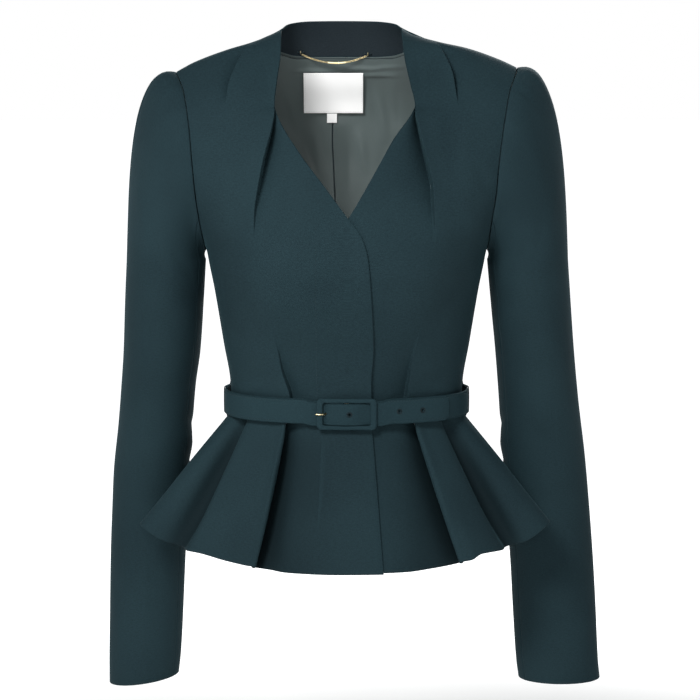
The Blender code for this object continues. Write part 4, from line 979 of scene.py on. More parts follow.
# %% [markdown]
# ## Label and size tab
# Both are blank tapes sewn on the lining. A tape can't be stretched over a hollow, so it keeps its
# own gentle curve: each of its points takes the lining's depth, averaged over a wide patch.

# %% Tapes that lie on the lining
TAPE_REACH = 160.0


def depth_near(points, x, z, reach=18.0):
    """Depth of a piece at the nearest of its points, averaged by closeness."""
    x, z = np.atleast_1d(x), np.atleast_1d(z)
    weight = np.exp(-((points[None, :, 0] - x[:, None]) ** 2 + (points[None, :, 2] - z[:, None]) ** 2) / reach)
    depth = (weight * points[None, :, 1]).sum(axis=1) / weight.sum(axis=1)
    return depth if len(depth) > 1 else float(depth[0])


def tape(name, x_range, z_range, parts, lift, thickness, bow):
    """A tape that stands off the lining by its lift, and the points of its face."""
    across, up = parts
    x, z = np.meshgrid(np.linspace(*x_range, across + 1), np.linspace(*z_range, up + 1))
    y = depth_near(lining_inside, x.ravel(), z.ravel(), TAPE_REACH).reshape(x.shape)
    u, v = np.linspace(-1, 1, across + 1)[None], np.linspace(-1, 1, up + 1)[:, None]
    y = y - lift - bow * (1 - u**2) * (1 - v**2) + 0.12 * np.sin(5 * u + 2 * v)
    near = np.stack([x, y - thickness, z], axis=-1)
    far = near + np.array([0, thickness, 0])
    heart = (x.mean(), y.mean() + 60, z.mean())
    return grid_shell(name, near, far, heart, label_satin, label_satin, edge_round=0.15), near


garment["label"], label_face = tape("label_tape", (-45.1, 17.5), (-62.7, -20.2), (40, 28), 3.4, 0.6, 0.5)
garment["size_tab"], tab_face = tape("size_tab_tape", (-20.7, -10.1), (-73.0, -63.2), (10, 10), 3.2, 0.5, 0.2)
print("label", np.ptp(label_face[..., 0]).round(1), "by", np.ptp(label_face[..., 2]).round(1), "mm")

# %% [markdown]
# ## The sleeves
# A jacket sleeve is cut in two: an upper piece that turns over the shoulder, and a narrower under
# piece. It leaves the armhole upwards and outwards, because the cap is eased in, and then falls
# with a slight bend at the elbow. Each ring of points runs from the armhole's own points to an oval
# of the arm on a curve that starts and ends in a chosen direction, which is a Hermite curve.

# %% The charts of the sleeves
SLEEVE = {RIGHT: Chart("z outer inner middle_y half_depth",
                       (-664, 254.3, 180.0, 46, 37.0), (-642, 254.2, 177.6, 46, 37.5),
                       (-587, 253.4, 174.7, 50, 39.5), (-521.6, 251.7, 171.5, 50, 42.0),
                       (-480, 249.6, 168.8, 47, 42.5), (-439.5, 247.1, 166.2, 42, 44.0),
                       (-384.7, 240.5, 162.2, 33, 46.5), (-345, 236.6, 158.5, 26, 49.0),
                       (-309, 233.5, 153.1, 20, 52.0), (-258, 230.9, 149.0, 13, 54.5), (-212, 228.2, 146.0, 8, 56.0)),
          LEFT: Chart("z outer inner middle_y half_depth",
                      (-664, 271.6, 184.5, 46, 37.0), (-644, 269.5, 181.8, 46, 37.5),
                      (-595.7, 267.3, 178.5, 50, 39.5), (-531.4, 263.2, 174.6, 50, 42.0),
                      (-482, 258.9, 169.4, 47, 42.5), (-423, 252.8, 164.8, 41, 44.5),
                      (-360.7, 244.1, 160.4, 29, 48.0), (-306.6, 238.1, 155.6, 20, 52.0),
                      (-258.7, 233.8, 150.5, 13, 54.5), (-212, 230.0, 146.0, 8, 56.0))}
CAP = Chart("turn leave_out leave_up leave_front arrive_down",
            (0, 150, 25, 0, 210), (45, 112, -6, 8, 172), (90, 60, -30, 12, 100), (135, 22, -16, 5, 38),
            (180, 4, -6, 0, 12))
CUFF_TILT = {RIGHT: 0.14, LEFT: 0.0}
ARM_TOP, LINING_END, CUFF = -212.0, -628, -664
SLEEVE_STEPS, CAP_RINGS, ARM_RINGS = 5, 31, 91
FRONT_SEAM_STEP, BACK_SEAM_STEP = 2, 5

# Creases round the sleeve: the two ends as mm round the arm and z, the width and the height.
# A degree round the arm counts as 1.1 mm: 0 is its outside, 90 the front and 180 the inside.
SLEEVE_CREASES = ((150, -372, 235, -398, 6, -1.5), (140, -392, 226, -418, 7, 1.3), (160, -420, 240, -436, 6, -1.2),
                  (70, -402, 128, -392, 8, -0.7), (120, -240, 205, -262, 7, -1.3), (110, -262, 190, -290, 8, 1.0),
                  (60, -150, 110, -230, 9, -1.1), (30, -120, 80, -190, 10, 0.9), (100, -190, 160, -236, 7, -1.1),
                  (250, -180, 320, -120, 9, -1.0), (270, -350, 330, -430, 10, -1.0), (80, -520, 150, -566, 9, -0.8),
                  (30, -560, 64, -640, 12, 0.7), (96, -450, 104, -640, 9, 0.6), (20, -240, 36, -380, 12, -0.6))


print("sleeves hang to", CUFF, "mm,", len(SLEEVE_CREASES), "creases each")


# %% Rings of points, from the armhole to the cuff
def armhole_ring(side):
    """The armhole's own points: up the front from the top, and back over the shoulder blade."""
    heights = spread_rows()[1]
    heights = finer(heights[heights >= UNDERARM - 0.01], SLEEVE_STEPS)[::-1]
    ring = []
    for front, levels in ((True, heights), (False, heights[-2:0:-1])):
        for z in levels:
            x = side * float(armhole_across(z, side))
            top = float(ridge_height(np.array(x)))
            z = top if abs(z - heights[0]) < 1e-6 else min(z, top)
            y = 0.0 if abs(z - UNDERARM) < 0.01 else float(torso_depth(np.array(x), np.array(z), front))
            ring.append((x, y, z))
    return np.array(ring)


def arm_ring(side, z, count):
    """An oval of points round the arm at a height, slanted near the cuff."""
    chart = SLEEVE[side]
    outer, inner = chart.at("outer", z), chart.at("inner", z)
    middle, half = (outer + inner) / 2, (outer - inner) / 2
    turn = np.arange(count) * 2 * np.pi / count
    x = side * (middle + half * np.cos(turn))
    y = chart.at("middle_y", z) - chart.at("half_depth", z) * np.sin(turn)
    slant = CUFF_TILT[side] * ease(-600, CUFF, z) * half * -np.cos(turn)
    return np.stack([x, y, z + slant], axis=1)


def sleeve_grid(side):
    """All rings of a sleeve: the cap on Hermite curves, and the arm below it."""
    start = armhole_ring(side)
    start[:, 0] += side * 0.35
    count = len(start)
    end = arm_ring(side, np.full(count, ARM_TOP), count)
    turn = np.degrees(np.arange(count) * 2 * np.pi / count)
    away, toward = np.minimum(turn, 360 - turn), np.where(turn < 180, -1, 1)
    leave = np.stack([side * CAP.at("leave_out", away), toward * CAP.at("leave_front", away),
                      CAP.at("leave_up", away)], axis=1)
    arrive = np.stack([side * 8 * np.cos(np.radians(turn)), 0 * away + 4, -CAP.at("arrive_down", away)], axis=1)
    rings = [(2 * t**3 - 3 * t**2 + 1) * start + (t**3 - 2 * t**2 + t) * leave + (3 * t**2 - 2 * t**3) * end
             + (t**3 - t**2) * arrive for t in np.linspace(0, 1, CAP_RINGS)]
    rings += [arm_ring(side, np.full(count, z), count) for z in np.linspace(ARM_TOP, CUFF, ARM_RINGS)[1:]]
    return np.array(rings)


print("rings and points of a sleeve:", sleeve_grid(RIGHT).shape[:2])


# %% The four pieces of the sleeves
def strip_shell(name, outer, inner, columns, heart, lined):
    """One piece out of a ring of cloth: the columns of it that lie between two seams."""
    return grid_shell(name, outer[:, columns], inner[:, columns], heart, crepe_cloth, lining_satin,
                      back_where=lined[:, columns].ravel())


for word, side in SIDES:
    grid = sleeve_grid(side)
    rings, count = grid.shape[:2]
    flat = grid.reshape(-1, 3)
    quads = facing(flat, grid_quads(rings, count, closed=True), flat.mean(axis=0))
    normal = point_normals(flat, quads).reshape(grid.shape)
    if np.sum(normal * (grid - grid.mean(axis=1)[:, None])) < 0:
        normal = -normal
    turn = np.degrees(np.arange(count) * 2 * np.pi / count)[None] + 0 * grid[..., 0]
    ring_number = np.arange(rings)[:, None] + 0 * turn
    height = crease_height(SLEEVE_CREASES, turn * 1.1, grid[..., 2]) * ease(3, 12, ring_number)
    upper = np.clip(np.cos(np.radians(turn)), 0, 1)
    puff = np.sin(np.radians(turn) * 17 + side) * 0.5 + np.sin(np.radians(turn) * 29) * 0.3
    roll = 1.1 * np.exp(-((ring_number - 4) / 3.0) ** 2)
    gathers = 0.9 * puff * np.exp(-((ring_number - 3) / 3.5) ** 2)
    height = height + (roll + gathers) * upper * ease(0, 2, ring_number)
    outer = grid + normal * height[..., None]
    inner = grid - normal * CLOTH
    near_seam = inner[..., 2] > UNDERARM - 6
    limit = np.where(near_seam, armhole_across(inner[..., 2], side) + 0.3, 0)
    inner[..., 0] = side * np.maximum(side * inner[..., 0], limit)
    lined = grid[..., 2] > LINING_END
    half = count // 2
    front_seam, back_seam = half - FRONT_SEAM_STEP * SLEEVE_STEPS, half + BACK_SEAM_STEP * SLEEVE_STEPS
    heart = flat.mean(axis=0)
    for prefix, columns in (("sleeve_upper_", np.arange(back_seam - count, front_seam + 1)),
                            ("sleeve_under_", np.arange(front_seam, back_seam + 1))):
        garment[prefix + word] = strip_shell(prefix + word + "_cloth", outer, inner, columns, heart, lined)

# %% [markdown]
# ## The peplum
# The peplum is a flared skirt sewn to the waist, with deep soft folds below the tucks and at the
# hips. Each line of the chart starts at a place on the waist and ends at a place on the hem. Where
# a hem point lies nearer the middle than its neighbours, the cloth folds in. The lines leave the
# waist almost straight down under the belt and then flare, as heavy cloth does.

# %% The charts of the peplum
FLARE = Chart("share moved", (0, 0), (0.07, 0.012), (0.105, 0.032), (0.16, 0.09), (0.25, 0.19), (0.47, 0.43),
              (0.75, 0.725), (1, 1))
PEPLUM = {RIGHT: (  # waist_x, at_back, hem_x, hem_y, hem_z
    (25.5, 0, 37.0, -149.5, -513.2), (0, 0, -1.0, -151.5, -513.4), (-24, 0, -28.0, -149.5, -513.8),
    (-46, 0, -62.0, -141.0, -513.8), (-54, 0, -76.0, -131.0, -514.0), (-60.4, 0, -95.0, -120.0, -514.5),
    (-61.4, 0, -92.5, -126.5, -510.2), (-70, 0, -101.0, -124.0, -509.0), (-83, 0, -122.5, -109.0, -507.0),
    (-94, 0, -147.0, -93.0, -503.0), (-102, 0, -164.0, -83.5, -501.0), (-106, 0, -172.0, -65.0, -499.5),
    (-110, 0, -187.0, -62.0, -496.0), (-115, 0, -205.0, -56.0, -486.5), (-118, 0, -213.0, -45.0, -481.0),
    (-118.8, 0, -203.0, -22.0, -481.0), (-119, 0, -178.0, 8.0, -485.0), (-118, 1, -160.0, 44.0, -489.0),
    (-112, 1, -148.0, 86.0, -494.0), (-96, 1, -135.0, 104.0, -498.0), (-80, 1, -112.0, 112.0, -500.0),
    (-66, 1, -90.0, 124.0, -501.0), (-61, 1, -82.0, 106.0, -502.0), (-52, 1, -66.0, 125.0, -503.0),
    (-28, 1, -34.0, 138.0, -504.0), (0, 1, 0.0, 141.0, -504.0)),
    LEFT: (
    (-25, 0, -31.0, -145.5, -511.0), (0, 0, 2.0, -147.5, -511.8), (24, 0, 34.0, -147.0, -512.4),
    (44, 0, 60.0, -142.5, -512.6), (56, 0, 83.0, -133.0, -511.6), (62, 0, 102.0, -123.5, -511.0),
    (66.9, 0, 117.5, -111.0, -511.0), (67.9, 0, 114.5, -118.5, -507.4), (75, 0, 126.0, -119.0, -504.5),
    (84, 0, 138.0, -110.0, -499.5), (96, 0, 160.0, -90.0, -499.0), (103, 0, 168.5, -67.0, -499.0),
    (109, 0, 182.0, -68.5, -495.5), (115, 0, 201.0, -60.0, -484.5), (118, 0, 209.5, -45.0, -478.5),
    (118.8, 0, 200.0, -20.0, -480.0), (119, 0, 178.0, 10.0, -485.0), (118, 1, 162.0, 46.0, -489.0),
    (112, 1, 149.0, 87.0, -494.0), (96, 1, 136.0, 104.0, -498.0), (80, 1, 114.0, 112.0, -500.0),
    (66, 1, 92.0, 123.0, -501.0), (61, 1, 84.0, 105.0, -502.0), (52, 1, 68.0, 125.0, -503.0),
    (28, 1, 34.0, 138.0, -504.0), (0, 1, 0.0, 141.0, -504.0))}
SIDE_LINE, LINE_STEPS, PEPLUM_RINGS = 16, 6, 61
# The lines counted from the opening: where the cloth nearer the middle dives under the next fold,
# where the side's fold lies, and how far behind the next fold the dive goes.
PEPLUM_DIVE, PEPLUM_SIDE_FOLD, DIVE_DEPTH = {RIGHT: 5.0, LEFT: 6.0}, 11.0, 31.0
# Extra depth of the folds: the two ends as ten times the line's number and percent of the way down,
# the width and the height.
PEPLUM_CREASES = {
    RIGHT: ((60, -50, 61, 140, 6.0, 3.6), (110, -35, 110, 124, 9.0, -13.0), (126, -30, 128, 140, 10.0, 3.0),
            (190, -20, 190, 160, 9.0, 2.0), (220, -60, 220, 150, 5.0, -5.0), (20, 20, 26, 130, 9.0, 1.6)),
    LEFT: ((72, -50, 74, 140, 6.0, 3.6), (110, -35, 110, 124, 9.0, -13.0), (126, -30, 128, 140, 10.0, 3.0),
           (190, -20, 190, 160, 9.0, 2.0), (220, -60, 220, 150, 5.0, -5.0), (32, 10, 30, 130, 9.0, 1.4))}
PEPLUM_HEART = (0, 0, -400)
print("peplum lines:", {side: len(lines) for side, lines in PEPLUM.items()})


# %% Rings of points, from the waist to the hem
def peplum_grid(side):
    lines = np.array(PEPLUM[side], float)
    number = np.arange(len(lines), dtype=float)
    where = np.linspace(0, len(lines) - 1, (len(lines) - 1) * LINE_STEPS + 1)
    half = float(TORSO.at("half_width", WAIST))
    share = np.clip(lines[:, 0] * side / half, -1, 1)
    around = np.sign(share) * np.degrees(np.arcsin(np.abs(share) ** (SECTION_POWER / 2)))
    around = np.where(lines[:, 1] > 0, 180 - around, around)
    around = np.radians(smooth_curve(number, around, where))
    hem = np.stack([smooth_curve(number, lines[:, i], where) for i in (2, 3, 4)], axis=1)
    sine, cosine = np.sin(around), np.cos(around)
    waist_x = side * half * signed_power(sine, 2 / SECTION_POWER)
    deep = np.where(cosine > 0, TORSO.at("front_depth", WAIST), TORSO.at("back_depth", WAIST))
    waist_y = -deep * signed_power(cosine, 2 / SECTION_POWER)
    if side == RIGHT:
        waist_y = waist_y - overlap(waist_x) * (cosine > 0)
    rows = []
    for down in np.linspace(0, 1, PEPLUM_RINGS):
        moved = FLARE.at("moved", down)
        rows.append(np.stack([waist_x + (hem[:, 0] - waist_x) * moved, waist_y + (hem[:, 1] - waist_y) * moved,
                              WAIST + (hem[:, 2] - WAIST) * down], axis=1))
    return np.array(rows)


print("rings and points of half the peplum:", peplum_grid(RIGHT).shape[:2])


# %% Painted shade: how deep in a fold the cloth lies
def store_painted_shade(piece, points, depth):
    """Give each point the painted shade of the nearest grid point, from 0 to 1, that darkens the cloth's colour."""
    nearest = KDTree(len(points))
    for index, point in enumerate(points):
        nearest.insert(point, index)
    nearest.balance()
    found = [nearest.find(v.co / MM)[1] for v in piece.data.vertices]
    layer = piece.data.attributes.new("painted_fold_shade", "FLOAT", "POINT")
    layer.data.foreach_set("value", depth[found].astype(np.float32))
    print(piece.name, "is deep in a fold at", int((depth[found] > 0.5).sum()), "points")


# %% The four pieces of the peplum
for word, side in SIDES:
    grid = peplum_grid(side)
    rings, count = grid.shape[:2]
    normal = grid_normals(grid, PEPLUM_HEART)
    x, y, z = np.moveaxis(grid, -1, 0)
    groove = stitch_groove(x, PLACKET_X + (z - WAIST) * 0.018) * (side == RIGHT) * (y < 0)
    line_number = np.arange(count)[None] / LINE_STEPS + 0 * x
    down = np.linspace(0, 1, rings)[:, None] + 0 * x
    fold = crease_height(PEPLUM_CREASES[side], line_number * 10, down * 100) * ease(0, 0.10, down)
    before = (PEPLUM_DIVE[side] - line_number).clip(0) / 1.75
    after = (line_number - PEPLUM_DIVE[side]).clip(0) / 0.40
    swell = np.sin(np.pi * (0.10 + 0.72 * down)) * ease(0, 0.12, down)
    dive = DIVE_DEPTH * np.exp(-before ** 1.15 - after ** 2) * swell
    # Painted shade for the colour: dark where the cloth dives under the next fold and along the side's fold, none at
    # the waist.
    side_painted_shade = 0.8 * np.exp(-((line_number - PEPLUM_SIDE_FOLD) / 0.9) ** 2)
    painted_shade = (np.exp(-(0.75 * before) ** 1.4 - after ** 2) + side_painted_shade) * ease(-0.05, 0.35, down)
    outer = grid + normal * (fold - GROOVE_DEEP * groove)[..., None]
    inner = grid + normal * (fold - CLOTH)[..., None]
    for skin in (outer, inner):
        skin[..., 1] += dive
        skin[..., 2] = np.minimum(skin[..., 2], WAIST - GAP / 2)
    lined = (np.arange(rings)[:, None] < rings - 10) & (np.arange(count)[None] > 3 * LINE_STEPS)
    for prefix, columns in (("peplum_front_", np.arange(SIDE_LINE * LINE_STEPS + 1)),
                            ("peplum_back_", np.arange(SIDE_LINE * LINE_STEPS, count))):
        piece = strip_shell(prefix + word + "_cloth", outer, inner, columns, PEPLUM_HEART, lined)
        store_painted_shade(piece, outer[:, columns].reshape(-1, 3), painted_shade[:, columns].ravel())
        garment[prefix + word] = piece

# %% [markdown]
# ## The belt
# The belt is a strap of doubled cloth with a stiff core, edge-stitched all round. It goes round the
# waist, and its free end passes through the buckle and lies on top. Points are given by their
# distance along the strap, their height and how far they stand out. The eyelets are real holes: the
# square of cells round each one is pulled into a circle, and the cells inside it are left out.

# %% Points along the belt
BELT_LEVEL, BUCKLE_LEVEL, BELT_THICK, BELT_WIDTH = -357.4, -359.6, 2.0, 25.6
BELT_HALF, BELT_FRONT, BELT_BACK, BELT_START, BELT_OFF_WAIST = 124.2, 94.2, 81.5, 3.4, 0.3
BUCKLE_HALF, BUCKLE_TALL, FRAME_BAR, FRAME_THICK, TAIL_END = 29.6, 15.9, 6.0, 3.2, 109.0
EYELETS, HOLE_RADIUS = (-21.0, 3.0, 27.5, 52.5, 77.0), 1.15
STRAP_OUT = Chart("along out", (-60, BELT_OFF_WAIST), (-28, BELT_OFF_WAIST), (-23, 0.4), (-22.5, 0.45),
                  (-19.5, 2.9), (-15, 4.3), (-9, 5.9), (-4, 6.6), (4, 6.7), (10, 6.0), (18, 3.6), (23, 2.8),
                  (30, 2.7), (120, 2.7))

turn = np.linspace(0, 2 * np.pi, 1441)
deep = np.where(np.cos(turn) > 0, BELT_FRONT, BELT_BACK)
belt_plan = np.stack([BELT_HALF * signed_power(np.sin(turn), 2 / SECTION_POWER),
                      -deep * signed_power(np.cos(turn), 2 / SECTION_POWER)], axis=1)
belt_arc = run_along(belt_plan)
BELT_LOOP = float(belt_arc[-1])


def belt_point(along, height, out, reach=3.0):
    """A point so far along the belt, at a height, and so far out from the waist."""
    along = np.asarray(along, float)
    place, ahead, behind = ([np.interp(way % BELT_LOOP, belt_arc, belt_plan[:, i]) for i in (0, 1)]
                            for way in (along, along + reach, along - reach))
    run = unit(np.stack([ahead[0] - behind[0], ahead[1] - behind[1]], axis=-1))
    x, y = place[0] + run[..., 1] * out, place[1] - run[..., 0] * out
    return np.stack([x, y, height + 0 * x], axis=-1)


def out_of_waist(along):
    return np.where(along > -60, STRAP_OUT.at("out", along), BELT_OFF_WAIST)


print("the belt goes", round(BELT_LOOP), "mm round the waist")

# %% Where the strap has points: close together round the eyelets
PATCH = 3.0
stations = [np.linspace(BELT_START, BELT_LOOP - 60, 150)]
ends = [-60] + [end for hole in EYELETS for end in (hole - PATCH, hole + PATCH)] + [TAIL_END - 2]
for low, high in zip(ends[::2], ends[1::2]):
    stations.append(BELT_LOOP + np.linspace(low, high, max(2, int((high - low) / 1.8) + 1)))
for hole in EYELETS:
    stations.append(BELT_LOOP + hole + np.linspace(-PATCH, PATCH, 9))
stations.append(BELT_LOOP + np.linspace(TAIL_END - 2, TAIL_END, 4))
stations = np.unique(np.concatenate(stations).round(4))
across = np.concatenate([np.linspace(-0.5, -PATCH / BELT_WIDTH, 14),
                         np.linspace(-PATCH, PATCH, 9)[1:-1] / BELT_WIDTH,
                         np.linspace(PATCH / BELT_WIDTH, 0.5, 14)]) * BELT_WIDTH
along, level = np.meshgrid(stations - BELT_LOOP, across, indexing="ij")
print("strap:", len(stations), "places along,", len(across), "across")

# %% The strap
in_hole = np.full(along.shape, False)
for hole in EYELETS:
    a, b = along - hole, level
    square, radius = np.maximum(np.abs(a), np.abs(b)), np.hypot(a, b)
    pull = (1 - ease(PATCH / 2, PATCH, square)) * (square <= PATCH + 0.001)
    scale = np.where(radius > 0, square / np.where(radius == 0, 1, radius), 1) * HOLE_RADIUS / (PATCH / 2)
    scale = 1 + (scale - 1) * pull
    in_hole |= square < PATCH / 2 - 0.05
    along, level = hole + a * scale, b * scale
in_buckle = ease(-46, -33, along) * (1 - ease(33, 46, along)) + (1 - ease(33, 46, along + BELT_LOOP))
narrow = ease(-31, -24, along) * (1 - ease(24, 31, along)) + (1 - ease(24, 31, along + BELT_LOOP))
tip = ease(TAIL_END - 6, TAIL_END, along)
squeeze = 1 - 3.4 / BELT_WIDTH * narrow * ease(1.5, 12, np.abs(level))
squeeze = squeeze * (1 - 0.22 * tip * ease(3, 12, np.abs(level)))
height = BELT_LEVEL + (BUCKLE_LEVEL - BELT_LEVEL) * in_buckle + level * squeeze
share = np.abs(level) / (BELT_WIDTH / 2)
crown = 0.2 - 0.5 * share**4
stitch_dip = 0.16 * np.exp(-((share - 0.80) / 0.05) ** 2)
ripple = 0.10 * np.sin(along * 0.33) * np.sin(along * 0.071 + 1) * (1 - share**2)
out = out_of_waist(along)
outer = belt_point(along, height, out + BELT_THICK + crown - stitch_dip + ripple)
inner = belt_point(along, height, out)
quads = cells(np.arange(along.size).reshape(along.shape))[~cells(in_hole).any(axis=-1)]
used = np.unique(quads)
garment["belt"] = cloth_shell("belt_strap", outer.reshape(-1, 3)[used], inner.reshape(-1, 3)[used],
                              np.searchsorted(used, quads), np.stack([along, level], axis=-1).reshape(-1, 2)[used],
                              (0, 0, BELT_LEVEL), crepe_belt, crepe_belt, edge_round=0.9)
print("belt", round(BELT_LOOP + TAIL_END - BELT_START), "mm long,", len(EYELETS), "eyelets")

# %% [markdown]
# ## The buckle, its bar and its prong
# The buckle is a rectangle wrapped in the same cloth, so its corners are soft and it has no sharp
# edge. The prong is bent wire: it hangs on the middle bar, comes up through one eyelet and rests on
# the frame. It is shown as fastened, so it stays still.

# %% A section swept along a line, and a wire along a path
def swept(name, rings, closed_path, material):
    """A piece made of rings of points, with flat ends unless the path closes on itself."""
    rings = np.asarray(rings, float)
    count, sides = rings.shape[:2]
    number = np.arange(count * sides).reshape(count, sides)
    number = np.hstack([number, number[:, :1]])
    if closed_path:
        number = np.vstack([number, number[:1]])
    faces = [tuple(face) for face in cells(number).reshape(-1, 4).tolist()]
    points = rings.reshape(-1, 3)
    if not closed_path:
        faces += [tuple(range(sides - 1, -1, -1)), tuple(range((count - 1) * sides, count * sides))]
    volume = 0.0
    for face in faces:
        for b, c in zip(face[1:], face[2:]):
            volume += np.dot(points[face[0]], np.cross(points[b], points[c]))
    if volume < 0:
        faces = [face[::-1] for face in faces]
    uv = np.stack(np.meshgrid(run_along(rings.mean(axis=1)), run_along(rings[0]), indexing="ij"), axis=-1)
    print(name, len(points), "points")
    return link_mesh(name, points, faces, uv.reshape(-1, 2), (material,))


def wire_rings(path, radius, sides):
    """Rings of points round a path, each turned as little as possible from the last."""
    path = np.asarray(path, float)
    radius = np.broadcast_to(np.asarray(radius, float), len(path))
    run = unit(np.gradient(path, axis=0))
    side_way = np.cross(run[0], (0.31, 0.23, 0.92))
    turn = np.arange(sides) * 2 * np.pi / sides
    rings = []
    for point, way, size in zip(path, run, radius):
        side_way = unit(side_way - way * np.dot(side_way, way))
        other = np.cross(way, side_way)
        rings.append(point + size * (np.cos(turn)[:, None] * side_way + np.sin(turn)[:, None] * other))
    return rings


def smooth_path(points, count):
    """Evenly spaced points on a smooth line through the given ones."""
    points = np.asarray(points, float)
    length = run_along(points)
    where = np.linspace(0, length[-1], count)
    return np.stack([smooth_curve(length, points[:, i], where) for i in range(points.shape[1])], axis=1)


print("a half turn of wire as rings:", np.shape(wire_rings([(-1, 0, 0), (0, 1, 0), (1, 0, 0)], 0.5, 12)))


# %% The covered frame
def buckle_out(along):
    """How far from the waist the frame's back is: it leans out toward the strap's free end."""
    return 2.7 + 2.5 * (along + BUCKLE_HALF) / (2 * BUCKLE_HALF)


def rounded_frame(half_long, half_tall, corner, per_corner, per_side):
    """Points round a rectangle with rounded corners."""
    corners = []
    for quarter, (sx, sy) in enumerate(((1, 1), (-1, 1), (-1, -1), (1, -1))):
        angle = np.radians(90 * quarter + np.linspace(0, 90, per_corner + 1))
        corners.append(np.stack([sx * (half_long - corner) + corner * np.cos(angle),
                                 sy * (half_tall - corner) + corner * np.sin(angle)], axis=1))
    points = []
    for here, then in zip(corners, corners[1:] + corners[:1]):
        share = np.linspace(0, 1, per_side + 1)[1:-1, None]
        points += [here, here[-1] + (then[0] - here[-1]) * share]
    return np.vstack(points)


section = np.radians(np.arange(20) * 18.0)
share_round = 0.5 * signed_power(np.cos(section), 0.72)
rise_round = 0.02 + 0.52 * signed_power(np.sin(section), 0.72)
outside = rounded_frame(BUCKLE_HALF, BUCKLE_TALL, 4.6, 10, 14)
inside = rounded_frame(BUCKLE_HALF - FRAME_BAR, BUCKLE_TALL - FRAME_BAR * 0.75, 2.2, 10, 14)
rings = []
for i, (outer_point, inner_point) in enumerate(zip(outside, inside)):
    swell = 1 + 0.035 * np.sin(i * 0.9) * np.sin(i * 0.37)
    place = inner_point + (outer_point - inner_point) * (share_round[:, None] + 0.5)
    rings.append(belt_point(place[:, 0], BUCKLE_LEVEL + place[:, 1],
                            buckle_out(place[:, 0]) + FRAME_THICK * (rise_round * swell + 0.5)))
garment["buckle_frame"] = swept("buckle_covered_frame", rings, True, crepe_belt)

# %% The middle bar and the prong
PRONG_RINGS, PRONG_RADIUS = 46, 0.72
bar_half, bar_base = BUCKLE_TALL - FRAME_BAR * 0.75 - 0.3, float(buckle_out(0)) + 0.2
corner = np.radians(np.arange(16) * 22.5)
oval = np.stack([2.2 * signed_power(np.cos(corner), 0.6), 0.95 + 0.95 * signed_power(np.sin(corner), 0.6)],
                axis=1)
garment["buckle_bar"] = swept("buckle_middle_bar", [belt_point(oval[:, 0], BUCKLE_LEVEL + z, bar_base + oval[:, 1])
                                                    for z in np.linspace(-bar_half, bar_half, 5)], False, pale_gold)
way = smooth_path(((-2.7, 4.9), (-7, 4.3), (-12, 3.2), (-16.5, 2.0), (-19.0, 1.8), (-20.8, 2.5), (-22.1, 4.2),
                   (-23.4, 6.1), (-25.2, 7.1), (-27.5, 7.25), (-30.4, 7.1)), PRONG_RINGS)
path = np.array([belt_point(along_belt, BUCKLE_LEVEL, out) for along_belt, out in way])
tip_round = np.sqrt(np.clip(1 - ((np.arange(PRONG_RINGS) - 40) / 6.2).clip(0) ** 2, 0.04, 1))
garment["prong"] = swept("prong_wire", wire_rings(path, PRONG_RADIUS * tip_round, 14), False, pale_gold)

# %% [markdown]
# ## The carriers and the hanger chain
# Two narrow loops at the side seams keep the belt at the waist. The chain at the back neck lets the
# jacket hang on a hook. It is made of small links with a plain flat bar in the middle, and swings on
# two thread bars. Its ends are open rings round those bars.

# %% The belt carriers
carrier = smooth_path(((-337.6, -4.3), (-342.0, -3.3), (-343.6, 0.0), (-345.0, 2.4), (-357.4, 2.65), (-369.6, 2.5),
                       (-371.2, 1.4), (-372.4, 0.1), (-374.6, -0.4)), 44)
run = unit(np.gradient(carrier, axis=0))
CARRIER_WIDE, CARRIER_CLOTH = 5.0, 1.0
quarter = float(belt_arc[360])
for word, middle in (("left", quarter), ("right", BELT_LOOP - quarter)):
    skins, across = [], middle + CARRIER_WIDE * np.linspace(-0.5, 0.5, 9)
    for lift in (CARRIER_CLOTH, 0.0):
        line = carrier + np.stack([run[:, 1], -run[:, 0]], axis=1) * lift
        skins.append(np.array([belt_point(across, z, out) for z, out in line]))
    garment["belt_carrier_" + word] = grid_shell("belt_carrier_" + word + "_loop", *skins, (0, 0, -357),
                                                 crepe_belt, crepe_belt, edge_round=0.35)

# %% The line that the chain hangs in
CHAIN_ENDS = np.array([(-48.0, 49.485, 1.4), (22.4, 53.289, -0.2)])
CHAIN_LOW, EYE = (-9.9, -10.7), 1.4
along = unit(CHAIN_ENDS[1] - CHAIN_ENDS[0])
down = unit(np.array([0, 0, -1.0]) + along * along[2])
behind = np.cross(along, down)


def eye_ring(centre, start, stop, count=25):
    turns = np.radians(np.linspace(start, stop, count))[:, None]
    return centre + EYE * (np.cos(turns) * down + np.sin(turns) * behind)


def hang_point(share):
    """The chain's line: it falls steeply at its ends and is flat at its lowest point."""
    left, right = CHAIN_ENDS
    low_share = (CHAIN_LOW[0] - left[0]) / (right[0] - left[0])
    steep = np.where(share < low_share, share / low_share, (1 - share) / (1 - low_share))
    point = left + (right - left) * share[:, None]
    level = point[:, 2] - EYE
    point[:, 2] = level + (CHAIN_LOW[1] + 1.1 - level) * (1 - (1 - steep) ** 2)
    return point


line = hang_point(np.linspace(0.03, 0.97, 400))
chain_run = run_along(line)


def chain_at(distance):
    return np.stack([np.interp(distance, chain_run, line[:, i]) for i in range(3)], axis=-1)


print("chain", round(float(chain_run[-1]), 1), "mm long")

